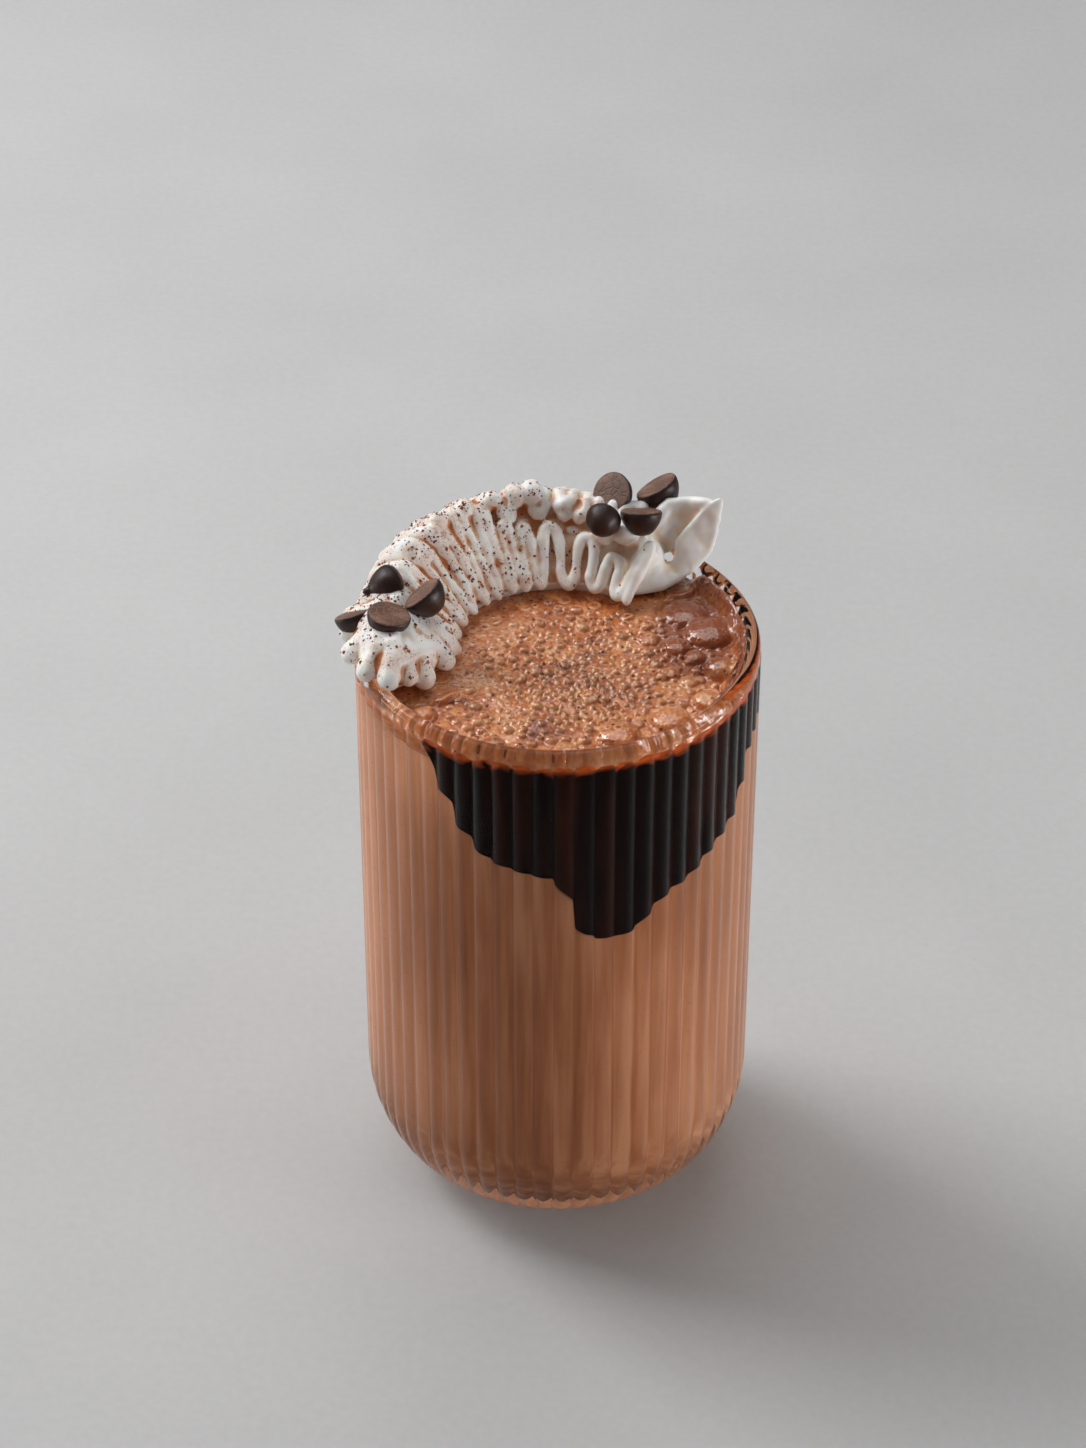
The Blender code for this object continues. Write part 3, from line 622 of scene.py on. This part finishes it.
# Painted highlights: a bright ring on each small bubble, from the spot value that its dome holds, fainter where
# sauce lies.
ring = wet_froth.ramp(spot, (0.02, 0.0), (0.2, 1.0), (0.45, 0.7), (0.62, 0.0))
frothy = wet_froth.mix(ring * (crowded * 0.6 + 0.15) * (1.0 - sauce_mask * 0.8), frothy, (0.97, 0.6, 0.32))
# Painted shade: a dark centre at the top of each small bubble, dark small pits, and dark crevices between the
# packed bubbles. Fine dark specks are added too.
eye = wet_froth.ramp(spot, (0.58, 0.0), (0.7, 1.0))
middle = wet_froth.cells(1050)
dome = wet_froth.ramp(middle, (0.0, 1.0), (0.3, 0.8), (0.5, 0.35), (0.65, 0.0))
crevice_shade = wet_froth.ramp(middle, (0.42, 0.0), (0.7, 1.0))
pits = wet_froth.ramp(wet_froth.cells(430), (0.1, 1.0), (0.17, 0.0))
specks = wet_froth.ramp(wet_froth.cells(1500), (0.1, 1.0), (0.25, 0.0))
dark = (eye * 0.4 + pits * 0.8 + specks * 0.15 + crevice_shade * crowded * 0.42).clamped()
wet_froth.set(Base_Color=wet_froth.mix(dark, frothy, (0.18, 0.03, 0.004)))
wet_froth.set(Roughness=fine * 0.2 + 0.05, Coat_Weight=1.0)
wet_froth.bump(fine * 0.4 + pits * -0.8 + specks * -0.2 + dome * (crowded * 0.9 + 0.1), 0.7, 0.0004)
piece("froth_raft", froth_mesh(), wet_froth, "froth", "froth")

# The cream: whipped cream piped round the back of the rim through a round nozzle, swung from side to side
# so that it lies in upright folds. It runs from blunt lobes at the left to a leaf at the right, where it was
# pulled off.
CREAM_SECTION = ((18.9, 122.4), (24.6, 129.2), (30.6, 135.8), (35.6, 132.4), (37.6, 125.6))
CREAM_HEART = (29.5, 124.5)
CREAM_FOOT_Z = 121.5
CREAM_START = 200.0
CREAM_RISE = ((40, 0.9), (78, 0.93), (95, 1.0), (140, 1.0), (165, 0.84), (185, 0.66), (205, 0.58))
# Two ropes inside, as (radius, height, thickness). They and the body behind the folds end at CORE_END and
# BODY_END, so that neither shows beside the leaf.
CREAM_CORE = ((29.4, 125.6, 5.2), (28.9, 129.2, 3.0))
CORE_END = 57.0
BODY_END = 54.0
BODY_DEPTH = 1.0
# The body's underside as (radius, height), which the seat cuts away
BODY_FLOOR = ((36.0, 118.0), (21.5, 118.0))
# Inner folds as (azimuth of the cap, climb of the cap, azimuth of the foot after it, thickness at the cap)
INNER_FOLDS = (
    (192, 1.7, 185, 1.5),
    (178, 1.9, 171, 1.6),
    (164.5, 2.0, 158.5, 1.7),
    (152.5, 2.05, 146, 1.45),
    (140, 1.95, 135.5, 1.6),
    (130.5, 2.05, 126, 1.35),
    (121, 1.9, 117, 1.4),
    (112.5, 1.45, 108.5, 1.2),
    (104.5, 1.3, 99.5, 1.15),
    (94, 1.3, 83.5, 1.15),
    (77.5, 1.15, 68, 1.15),
    (62.5, 0.85, 53, 1.1),
    (49, 1.4, 46, 1.1),
)
# Outer folds as (azimuth of the upper bend, azimuth of the lower bend)
OUTER_FOLDS = ((178, 172), (166, 160), (154, 148), (142, 136), (130, 125), (120, 115), (110, 104))
OUTER_FOLDS += ((97, 92), (87, 82), (77, 72), (67, 61))
OUTER_CLIMBS = (1.55, 3.7)
OUTER_THICKNESSES = (1.3, 1.5)
FOOT_THICKNESS = 0.95
LEG_STEEPNESS = 0.85
FOLD_STEPS = 14
# Fat lobes on the crest as (azimuth, climb, thickness)
CREST_LOBES = (
    (154, 2.05, 2.6),
    (138, 2, 2.1),
    (125, 2.1, 2.3),
    (114, 2, 1.9),
    (105.5, 2.05, 2.5),
    (99.5, 2.05, 2.8),
    (88, 1.8, 2.1),
    (81, 1.6, 1.7),
    (70, 1.35, 2.7),
    (61, 1.4, 2.5),
)
# The blunt end: its mass as ropes of (x, y, z, radius), and pleats from one top to their feet. The top is a
# little lower than in the solid, so that the uneven skin stays under the chip that lies there.
START_MASS = (
    ((-24.6, -0.5, 124.6, 4.4), (-26.6, -6.6, 124.4, 4.8), (-30.2, -10.4, 125.2, 4.6)),
    ((-30.0, 4.0, 127.4, 5.2), (-32.6, -3.0, 127.2, 5.2), (-32.4, -8.4, 126.4, 4.8)),
)
START_TOP = (-29.6, -3.0, 130.3, 2.0)
START_FEET = (
    (-19.9, 2.0, 123.2, 1.6),
    (-20.3, -2.2, 123.2, 2.2),
    (-20.9, -6.0, 122.9, 2.0),
    (-24.6, -11.6, 122.9, 2.3),
    (-27.4, -14.0, 124.4, 1.7),
    (-30.9, -15.5, 125.5, 2.3),
    (-35.0, -13.2, 125.7, 2.2),
    (-38.0, -8.0, 125.8, 2.1),
    (-38.9, -2.2, 126.3, 1.7),
    (-38.4, 2.6, 127.0, 1.6),
)
PLEAT_BEND = 0.55
PLEAT_RISE = 1.1
# The leaf: cross ropes from its lower edge to its upper edge, each end as (x, y, z, radius)
LEAF = (
    ((13.2, 18.2, 122.0, 1.2), (13.6, 22.4, 127.6, 1.1)),
    ((16.2, 18.8, 122.0, 1.3), (17.1, 23.2, 128.8, 1.0)),
    ((19.6, 19.8, 122.0, 1.3), (19.9, 22.4, 124.9, 0.8)),
    ((23.0, 21.8, 122.6, 1.2), (22.0, 22.8, 123.9, 0.8)),
    ((26.2, 23.2, 124.8, 1.3), (23.6, 24.4, 129.0, 0.9)),
    ((28.6, 24.6, 127.2, 1.2), (25.4, 25.0, 131.6, 0.8)),
    ((29.6, 25.0, 131.0, 1.1), (27.4, 25.3, 134.4, 0.7)),
    ((30.4, 25.3, 134.6, 0.9), (29.4, 25.5, 136.6, 0.6)),
    ((31.3, 25.6, 138.3, 0.35), (31.2, 25.6, 138.3, 0.35)),
)
LEAF_BACK = (
    ((15.0, 25.4, 129.0, 1.4), (14.0, 26.4, 126.0, 2.4)),
    ((18.4, 26.8, 132.0, 1.4), (18.4, 27.0, 126.0, 2.2)),
    ((21.4, 28.0, 134.4, 1.4), (22.0, 27.4, 127.0, 1.8)),
    ((25.4, 27.8, 135.0, 1.2), (25.4, 27.2, 128.8, 1.4)),
    ((28.8, 26.3, 136.2, 0.8), (28.0, 26.6, 131.4, 1.0)),
)
LEAF_STEPS = 7
# Ropes along the top edge of the leaf's back, along the foot of its hollow, and down its left end
TAIL_ROPES = (
    ((16.0, 25.6, 129.8, 1.6), (21.4, 28.0, 134.8, 1.5), (25.4, 28.0, 135.3, 1.3), (28.6, 26.4, 136.4, 0.9)),
    ((13.0, 25.0, 123.6, 2.8), (18.0, 24.6, 121.4, 2.0), (23.6, 25.6, 121.8, 1.8), (27.0, 26.2, 124.6, 1.4)),
    ((14.6, 23.6, 128.6, 1.2), (13.9, 20.4, 125.2, 1.15), (13.1, 17.4, 122.0, 1.0)),
)
CREAM_VOXEL = 0.34
SOFTENING = 5
SEAT_GAP = 0.06
SEAT_BOTTOM = 114.0
# The skin's unevenness as (depth, length of a wave), and the heights between which it sets in: over the froth
# inside REST_RADIUS, and over the rim outside it
SKIN_WAVES = ((0.42, 4.7), (0.17, 1.9))
REST_RADIUS = 33.5
FREE_OVER_FROTH = (120.8, 122.2)
FREE_OVER_RIM = (125.0, 126.5)
VALLEY_ROUNDS = 30
VALLEY_DEPTH = 0.35


def evaluated_mesh(source):
    graph = bpy.context.evaluated_depsgraph_get()
    graph.update()
    return bpy.data.meshes.new_from_object(source.evaluated_get(graph))


def rise_share(azimuth):
    places, shares = zip(*CREAM_RISE)
    return np.interp(azimuth, places, shares)


def cream_height(azimuth, height):
    return CREAM_FOOT_Z + (height - CREAM_FOOT_Z) * rise_share(azimuth)


def section_spot(climb, depth=0.0):
    """(radius, height) on the section, sunk by depth. Climb counts along its points, and 2 is the crest."""
    step = min(int(climb), len(CREAM_SECTION) - 2)
    low, high = Vector(CREAM_SECTION[step]), Vector(CREAM_SECTION[step + 1])
    found = low.lerp(high, climb - step)
    return found + (Vector(CREAM_HEART) - found).normalized() * depth


def cream_point(azimuth, climb):
    radius, height = section_spot(climb)
    return on_ring(azimuth, radius, cream_height(azimuth, height))


def cream_body():
    """The cream behind the folds: the section drawn in a little and swept round the rim."""
    azimuth = np.linspace(CREAM_START - 8, BODY_END, 120)
    level = np.full_like(azimuth, 1.0)
    sway = 0.35 * np.sin(azimuth / 4.7) * np.sin(azimuth / 9.1 + 0.6)
    rows = []
    for climb in np.linspace(0.0, 4.0, 25):
        radius, height = section_spot(climb, BODY_DEPTH)
        rows.append((radius * level + sway, azimuth, cream_height(azimuth, height + sway)))
    rows += [(radius * level, azimuth, height * level) for radius, height in BODY_FLOOR]
    return lofted("cream_body", rows)


def core_rope(radius, height, thickness):
    points = []
    for azimuth in np.linspace(CREAM_START, CORE_END, 40):
        middle = on_ring(azimuth, radius, cream_height(azimuth, height))
        points.append((*middle, thickness * rise_share(azimuth)))
    return points


def ruffle(stops):
    """A rope through (azimuth, climb, thickness) stops, steep between them and in a round bend at each."""
    points = []
    for (a0, c0, t0), (a1, c1, t1) in zip(stops, stops[1:]):
        for share in np.arange(FOLD_STEPS) / FOLD_STEPS:
            along = share + LEG_STEEPNESS * math.sin(math.tau * share) / math.tau
            up = (1 - math.cos(math.pi * share)) / 2
            middle = cream_point(a0 + (a1 - a0) * along, c0 + (c1 - c0) * up)
            points.append((*middle, t0 + (t1 - t0) * up))
    return points


def cream_ropes():
    """Every rope of the cream: the core, both ruffles, the lobes, the blunt end and the leaf."""
    inner_stops, outer_stops = [], []
    for cap, climb, foot, thickness in INNER_FOLDS:
        inner_stops += [(cap, climb, thickness), (foot, 0.0, FOOT_THICKNESS)]
    for azimuths in OUTER_FOLDS:
        outer_stops += zip(azimuths, OUTER_CLIMBS, OUTER_THICKNESSES)
    ropes = [ruffle(inner_stops), ruffle(outer_stops)]
    ropes += [core_rope(*core) for core in CREAM_CORE]
    for azimuth, climb, thickness in CREST_LOBES:
        outside = (*cream_point(azimuth, climb + 1.0), thickness * 0.8)
        ropes.append([outside, (*cream_point(azimuth, climb), thickness)])
    top = Vector(START_TOP)
    for foot in START_FEET:
        middle = top.lerp(Vector(foot), PLEAT_BEND)
        middle.z += PLEAT_RISE
        ropes.append([tuple(top), tuple(middle), foot])
    for sheet in (LEAF, LEAF_BACK):
        for (low0, high0), (low1, high1) in zip(sheet, sheet[1:]):
            for share in np.arange(LEAF_STEPS) / LEAF_STEPS:
                lower = Vector(low0).lerp(Vector(low1), share)
                upper = Vector(high0).lerp(Vector(high1), share)
                ropes.append([tuple(lower), tuple(upper)])
    return ropes + [list(points) for points in START_MASS + TAIL_ROPES]


def domed_end(tip, before):
    """Points that close a rope's end with a dome."""
    way = (Vector(tip[:3]) - Vector(before[:3])).normalized()
    turns = [math.radians(angle) for angle in (25, 50, 70, 84)]
    return [(*(Vector(tip[:3]) + way * tip[3] * math.sin(t)), tip[3] * math.cos(t)) for t in turns]


def rope_mesh(points):
    """A closed round rope with domed ends, through (x, y, z, radius) points in mm."""
    points = domed_end(points[0], points[1])[::-1] + points + domed_end(points[-1], points[-2])
    curve = bpy.data.curves.new("rope", "CURVE")
    curve.dimensions = "3D"
    curve.bevel_depth = 1.0
    curve.bevel_resolution = 3
    curve.use_fill_caps = True
    spline = curve.splines.new("POLY")
    spline.points.add(len(points) - 1)
    for control, point in zip(spline.points, points):
        x, y, z, radius = (value * MM for value in point)
        control.co = (x, y, z, 1.0)
        control.radius = radius
    made = placed("rope", curve)
    mesh = evaluated_mesh(made)
    bpy.data.objects.remove(made)
    return mesh


def largest_shell(mesh):
    """Drops loose scraps and the walls of inner pockets, and keeps the outer skin."""
    shape = bmesh.new()
    shape.from_mesh(mesh)
    left = set(shape.verts)
    shells = []
    while left:
        shell = {left.pop()}
        queue = list(shell)
        while queue:
            for edge in queue.pop().link_edges:
                found = [point for point in edge.verts if point in left]
                left.difference_update(found)
                shell.update(found)
                queue.extend(found)
        shells.append(shell)
    shells.sort(key=len)
    scraps = [point for shell in shells[:-1] for point in shell]
    bmesh.ops.delete(shape, geom=scraps, context="VERTS")
    shape.to_mesh(mesh)
    shape.free()
    return mesh


def neighbour_mean(mesh, points):
    """For each point of the mesh, the middle of the points joined to it."""
    ends = np.empty(len(mesh.edges) * 2, np.int64)
    mesh.edges.foreach_get("vertices", ends)
    ends = ends.reshape(-1, 2)
    total = np.zeros_like(points)
    for here, there in ((0, 1), (1, 0)):
        np.add.at(total, ends[:, here], points[ends[:, there]])
    return total / np.bincount(ends.ravel(), minlength=len(points))[:, None]


def seat():
    """What the cream rests on: the froth's level and the rim, a hair larger."""
    rest = FROTH_LEVEL + 0.05
    profile = [(0.0, rest), (BORE_RADIUS - 0.1, rest), (BORE_RADIUS - 0.1, GLASS_HEIGHT - 1.5)]
    profile += [(r, z + SEAT_GAP) for r, z in lip[2:]]
    profile += [(GLASS_RADIUS + SEAT_GAP, height) for height in (GLASS_HEIGHT - 2.0, SEAT_BOTTOM)]
    profile.append((0.0, SEAT_BOTTOM))
    return placed("seat", turned("seat", profile, 240))


def make_cream():
    """The body and all the ropes grown into one skin, softened, and cut where the cream rests."""
    shape = bmesh.new()
    shape.from_mesh(cream_body())
    for points in cream_ropes():
        shape.from_mesh(rope_mesh(points))
    together = bpy.data.meshes.new("cream_ropes")
    shape.to_mesh(together)
    shape.free()
    rough = placed("cream_ropes", together)
    skin = rough.modifiers.new("skin", "REMESH")
    skin.mode = "VOXEL"
    skin.voxel_size = CREAM_VOXEL * MM
    soft = rough.modifiers.new("soft", "SMOOTH")
    soft.factor = 0.5
    soft.iterations = SOFTENING
    rest = seat()
    sit = rough.modifiers.new("sit", "BOOLEAN")
    sit.operation = "DIFFERENCE"
    sit.object = rest
    sit.solver = "MANIFOLD"
    mesh = largest_shell(evaluated_mesh(rough))
    mesh.name = "cream"
    bpy.data.objects.remove(rough)
    bpy.data.objects.remove(rest)
    return mesh


def roughen(mesh):
    """Pushes the cream's free skin in and out a little, as it never leaves the nozzle quite even."""
    points = point_array(mesh)
    inside = np.hypot(points[:, 0], points[:, 1]) < REST_RADIUS
    free = np.where(inside, ease(*FREE_OVER_FROTH, points[:, 2]), ease(*FREE_OVER_RIM, points[:, 2]))
    push = [sum(depth * noise.noise(Vector(p) / length) for depth, length in SKIN_WAVES) for p in points]
    set_points(mesh, points + vertex_rows(mesh, "normal") * (np.array(push) * free)[:, None])


def valleys(mesh):
    """How deep each point lies in a fold, from 0 to 1, from its height under its smoothed surroundings."""
    points = point_array(mesh)
    wide = points
    for _ in range(VALLEY_ROUNDS):
        wide = neighbour_mean(mesh, wide)
    below = np.einsum("ij,ij->i", wide - points, vertex_rows(mesh, "normal"))
    return np.clip(below / VALLEY_DEPTH, -1, 1) * 0.5 + 0.5


cream_mesh = make_cream()
roughen(cream_mesh)
hold(cream_mesh, "valley", valleys(cream_mesh))

whipped_cream = Finish(
    "whipped_cream",
    Roughness=0.42,
    Subsurface_Weight=0.5,
    Subsurface_Radius=(1.0, 0.6, 0.34),
    Subsurface_Scale=0.0018,
)
facing = whipped_cream.node("ShaderNodeNewGeometry", {}, {}, "Normal")
facing_up = whipped_cream.node("ShaderNodeSeparateXYZ", {}, {0: facing}, 2)
dusted_side = whipped_cream.ramp(whipped_cream.place_along(0) * -24 + 0.6, (0.1, 0.06), (0.75, 1.0))
valley = whipped_cream.stored("valley")
powder_drift = whipped_cream.ramp(whipped_cream.noise(160, 4), (0.4, 0.0), (0.68, 1.0))
in_folds = whipped_cream.ramp(valley, (0.5, 0.0), (0.75, 1.0))
stain = ((in_folds * (powder_drift * 0.85 + 0.36) + powder_drift * 0.38) * dusted_side).clamped()
grains = whipped_cream.ramp(whipped_cream.noise(2600, 2), (0.56, 0.0), (0.66, 1.0))
settled = whipped_cream.ramp(facing_up, (0.1, 0.0), (0.7, 1.0))
powder = (grains * settled * dusted_side * powder_drift * 0.8).clamped()
# Painted shade: the cream is darker and warmer down in its folds, where its own shadow lies.
fold_shaded_cream = whipped_cream.mix(in_folds, (0.985, 0.965, 0.92), (0.93, 0.8, 0.64))
stained = whipped_cream.mix(stain, fold_shaded_cream, (0.56, 0.2, 0.06))
whipped_cream.set(Base_Color=whipped_cream.mix(powder, stained, (0.3, 0.1, 0.04)))
whipped_cream.bump(whipped_cream.noise(700, 3) + whipped_cream.noise(2600, 2) * 0.3, 0.12, 0.0002)
piece("whipped_ring", cream_mesh, whipped_cream, "whipped_cream", "cream")

# The chips: real chocolate chips set in the cream by hand, dull and scuffed on the flat face that lay on the
# belt when they were dropped, and satin on the cone. Two groups of four, at the left and at the right.
CHIP_RADIUS = 4.1
CHIP_HEIGHT = 5.0
CHIP_AROUND = 64
# Outlines as shares of the radius and of the height, from the flat face to the tip. The drop has a nub on it.
CHIP_OUTLINE = ((0.5, 0.0), (0.86, 0.01), (0.95, 0.03), (0.99, 0.09), (1.0, 0.16), (0.96, 0.34), (0.88, 0.5))
CHIP_OUTLINE += ((0.78, 0.64), (0.68, 0.76), (0.56, 0.87), (0.42, 0.955), (0.25, 0.99))
DROP_OUTLINE = ((0.28, -0.04), (0.52, 0.0), (0.72, 0.07), (0.86, 0.17), (0.93, 0.3), (0.9, 0.45), (0.8, 0.6))
DROP_OUTLINE += ((0.66, 0.75), (0.5, 0.87), (0.36, 0.95), (0.27, 0.99))
# Name, centre of the flat face, the way the cone points, width and length as shares, and length of the nub
CHIPS = (
    ("chip_left_side", (-29.4, 5.8, 132.8), (-0.93, -0.33, -0.17), 0.95, 1.2, 1.2),
    ("chip_left_tilted", (-25.4, 0.4, 133.8), (0.62, -0.2, -0.76), 1.0, 1.0, 0.0),
    ("chip_left_flat", (-31.0, -5.0, 132.8), (-0.2, 0.0, -0.98), 0.98, 0.98, 0.0),
    ("chip_left_outer", (-37.8, 0.0, 129.6), (0.3, -0.42, -0.86), 0.95, 0.95, 0.0),
    ("chip_right_facing", (10.1, 29.8, 136.6), (0.45, 0.56, -0.67), 0.98, 0.98, 0.0),
    ("chip_right_back", (18.7, 32.4, 136.6), (0.48, -0.2, -0.85), 1.04, 1.04, 0.0),
    ("chip_right_front", (8.8, 24.0, 134.6), (-0.2, -0.97, 0.0), 0.84, 0.84, 0.0),
    ("chip_right_low", (15.9, 24.8, 135.8), (0.0, -0.42, -0.9), 0.98, 0.98, 0.0),
)
# How pale each chip's flat face is where it differs
FACE_BLOOM = {"chip_right_facing": 1.0, "chip_left_flat": 0.25}


def chip_finish(name):
    """Chocolate that is dull, smeared and crackled on the flat face, and darker and smoother on the cone."""
    bloom = FACE_BLOOM.get(name, 0.4)
    chocolate = Finish(name + "_chocolate", Specular_IOR_Level=0.4)
    on_face = chocolate.ramp(chocolate.place_along(2) * 1600 + 1.0, (0.45, 0.0), (0.8, 1.0))
    smears = chocolate.noise(380, 4, (1.0, 0.35, 1.0))
    crackle = chocolate.ramp(chocolate.cells(700, "DISTANCE_TO_EDGE"), (0.02, 1.0), (0.09, 0.0))
    dull = chocolate.ramp(
        smears, (0.35, (0.07, 0.03, 0.02)), (0.52, (0.13, 0.062, 0.042)), (0.66, (0.26, 0.14, 0.1))
    )
    paled = chocolate.mix(0.45 * bloom, dull, (0.3, 0.2, 0.155))
    scuffed = chocolate.mix(crackle * (1.0 - bloom) * 0.7, paled, (0.34, 0.15, 0.08))
    cone_tone = chocolate.noise(260, 3)
    cone = chocolate.ramp(cone_tone, (0.3, (0.017, 0.006, 0.0045)), (0.7, (0.042, 0.017, 0.012)))
    chocolate.set(Base_Color=chocolate.mix(on_face, cone, scuffed))
    chocolate.set(Roughness=on_face * 0.2 + smears * 0.25 + 0.3)
    chocolate.bump(smears * 1.4 + crackle * on_face * -0.5, 0.6, 0.0003)
    return chocolate


def chip_mesh(name, nub):
    """A chip turned about its own axis, a little out of round, with its flat face at 0 and its tip below."""
    radius, height = CHIP_RADIUS, CHIP_HEIGHT
    outline = DROP_OUTLINE if nub else CHIP_OUTLINE
    profile = [(0.0, -height * outline[0][1] - 0.05 if nub else 0.0)]
    profile += [(radius * across, -height * down) for across, down in outline]
    if nub:
        profile += [(0.2 * radius, -height - 0.25 * nub), (0.15 * radius, -height - 0.75 * nub)]
    profile.append((0.0, -height - nub))
    mesh = turned(name, profile[::-1], CHIP_AROUND)
    points = point_array(mesh)
    turn = np.arctan2(points[:, 1], points[:, 0])
    phase = draw.uniform(0, math.tau, 3)
    lump = 0.018 * np.sin(2 * turn + phase[0]) + 0.012 * np.sin(3 * turn + phase[1])
    lump += 0.008 * np.sin(7 * turn + phase[2]) * ease(0.0, -2.0, points[:, 2])
    points[:, :2] *= (1 + lump)[:, None]
    sag = 0.12 * np.sin(points[:, 0] / 2.3 + phase[0]) * np.cos(points[:, 1] / 2.9 + phase[1])
    points[:, 2] += sag * ease(-1.0, -0.2, points[:, 2])
    set_points(mesh, points)
    return mesh


for name, centre, tip_way, width, length, nub in CHIPS:
    mesh = chip_mesh(name, nub)
    mesh.transform(Matrix.Diagonal((width, width, length, 1.0)))
    turn_to = (-Vector(tip_way)).to_track_quat("Z", "Y").to_matrix().to_4x4()
    stand = Matrix.Translation(Vector(centre) * MM) @ turn_to
    piece(name + "_dark", mesh, chip_finish(name), "dark_chocolate", name, stand=stand)

# The cocoa: flakes of grated chocolate and coarse cocoa, shaken over the cream from above, thickest at the
# left and over the middle. Each flake is a small crooked shard that lies on the cream.
FLAKE_COUNT = 3200
FLAKE_SIZES = (0.1, 0.6)
FLAKE_CORNERS = 4


def flake_density(point, normal):
    """How likely a flake is to stay at a point: on what faces up, most at the left, in drifts."""
    x, y = point.x / MM, point.y / MM
    side = 0.04 + 0.96 * float(ease(6, -9, x))
    left_end = 0.4 + 0.6 * float(ease(-14, -4, y))
    drift = 0.5 + 0.5 * math.sin(x / 1.9 + 1.7 * math.sin(y / 2.2)) * math.cos(y / 1.7 + point.z / MM)
    return max(0.0, normal.z + 0.3) * side * left_end * (0.08 + 0.92 * drift**2)


def flake_points(centre, normal, size):
    """The corners of a crooked shard: four round it, one above and one below."""
    across = normal.orthogonal().normalized()
    along = normal.cross(across)
    start = draw.uniform(0, math.tau)
    corners = []
    for k in range(FLAKE_CORNERS):
        turn = start + k * math.tau / FLAKE_CORNERS + draw.uniform(-0.4, 0.4)
        away = size * draw.uniform(0.35, 1.0) * MM
        corners.append(centre + (across * math.cos(turn) + along * math.sin(turn)) * away)
    return [*corners, centre + normal * size * 0.45 * MM, centre - normal * size * 0.3 * MM]


def flake_mesh(surface):
    """Flakes on the surface's faces, picked by area and density."""
    surface.calc_loop_triangles()
    triangles = surface.loop_triangles
    areas = np.array([t.area for t in triangles])
    chances = np.cumsum(areas / areas.sum())
    points, faces = [], []
    while len(points) < FLAKE_COUNT * (FLAKE_CORNERS + 2):
        triangle = triangles[int(np.searchsorted(chances, draw.random()))]
        normal = triangle.normal
        if draw.random() > flake_density(triangle.center, normal):
            continue
        size = FLAKE_SIZES[0] + (FLAKE_SIZES[1] - FLAKE_SIZES[0]) * draw.random() ** 4
        start = len(points)
        points += flake_points(triangle.center, normal, size)
        above, below = start + FLAKE_CORNERS, start + FLAKE_CORNERS + 1
        for k in range(FLAKE_CORNERS):
            here, following = start + k, start + (k + 1) % FLAKE_CORNERS
            faces += [(here, following, above), (following, here, below)]
    mesh = bpy.data.meshes.new("cocoa_flakes")
    mesh.from_pydata([tuple(p) for p in points], [], faces)
    return mesh


cocoa = Finish("grated_cocoa", Roughness=0.75, Specular_IOR_Level=0.25)
cocoa_shade = cocoa.ramp(
    cocoa.noise(320, 2), (0.35, (0.15, 0.03, 0.01)), (0.55, (0.28, 0.075, 0.026)), (0.72, (0.45, 0.16, 0.06))
)
cocoa.set(Base_Color=cocoa_shade)
cocoa.bump(cocoa.noise(3000, 2), 0.4, 0.0001)
flakes = placed("cocoa_flakes", flake_mesh(cream_mesh))
flakes.data.materials.append(cocoa.material)
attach(flakes, "root")

# The set: the glass stands on a sheet of pale grey paper that fills the picture. Large soft lights at the
# upper left and above, both a little behind it, light it together with white cards at both sides.
SHEET_HALF = 3000.0
SHEET_DROP = 0.2
sheet_corners = [(SHEET_HALF * x, SHEET_HALF * y, 0.0) for x, y in ((-1, -1), (1, -1), (1, 1), (-1, 1))]
sheet_mesh = mesh_of("paper", sheet_corners, [(0, 1, 2, 3)])
paper = Finish("pale_paper", Roughness=0.9, Specular_IOR_Level=0.1)
mottle = paper.noise(14, 4) * 0.6 + paper.noise(500, 2) * 0.4
paper.set(Base_Color=paper.ramp(mottle, (0.3, (0.54, 0.54, 0.54)), (0.7, (0.6, 0.6, 0.6))))
sheet_mesh.materials.append(paper.material)
paper_sheet = placed("paper_sheet", sheet_mesh)
paper_sheet.location.z = -SHEET_DROP * MM

world = bpy.data.worlds.new("studio")
bpy.context.scene.world = world
world.use_nodes = True
room_light = world.node_tree.nodes["Background"].inputs
room_light["Color"].default_value = (0.8, 0.8, 0.8, 1.0)
room_light["Strength"].default_value = 0.2
# Name, place, what it points at, width and height, all in metres, and power in watts
LAMPS = (
    ("key", (-0.75, 0.45, 0.95), (0.0, 0.0, 0.06), 0.5, 0.5, 9.0),
    ("overhead", (-0.1, 0.45, 1.1), (0.0, 0.0, 0.06), 0.8, 0.8, 4.2),
    ("left_card", (-0.55, 0.02, 0.1), (0.0, 0.0, 0.08), 0.2, 0.15, 0.56),
    ("right_card", (0.66, -0.2, 0.13), (0.0, 0.0, 0.08), 0.3, 0.2, 2.35),
)
for name, spot_at, target, width, height, power in LAMPS:
    light = bpy.data.lights.new(name, "AREA")
    light.shape = "RECTANGLE"
    light.size = width
    light.size_y = height
    light.energy = power
    lamp = placed(name, light)
    lamp.location = spot_at
    lamp.rotation_euler = (Vector(target) - Vector(spot_at)).to_track_quat("-Z", "Y").to_euler()

# The camera's lens in mm and its place in metres, fitted to the photograph
camera = placed("camera", bpy.data.cameras.new("camera"))
camera.data.lens = 94.14
camera.data.sensor_width = 36.0
camera.location = (-0.00277, -0.57504, 0.53281)
camera.rotation_euler = (math.radians(53.264), 0.0, 0.0)
bpy.context.scene.camera = camera
bpy.context.scene.view_settings.view_transform = "Standard"
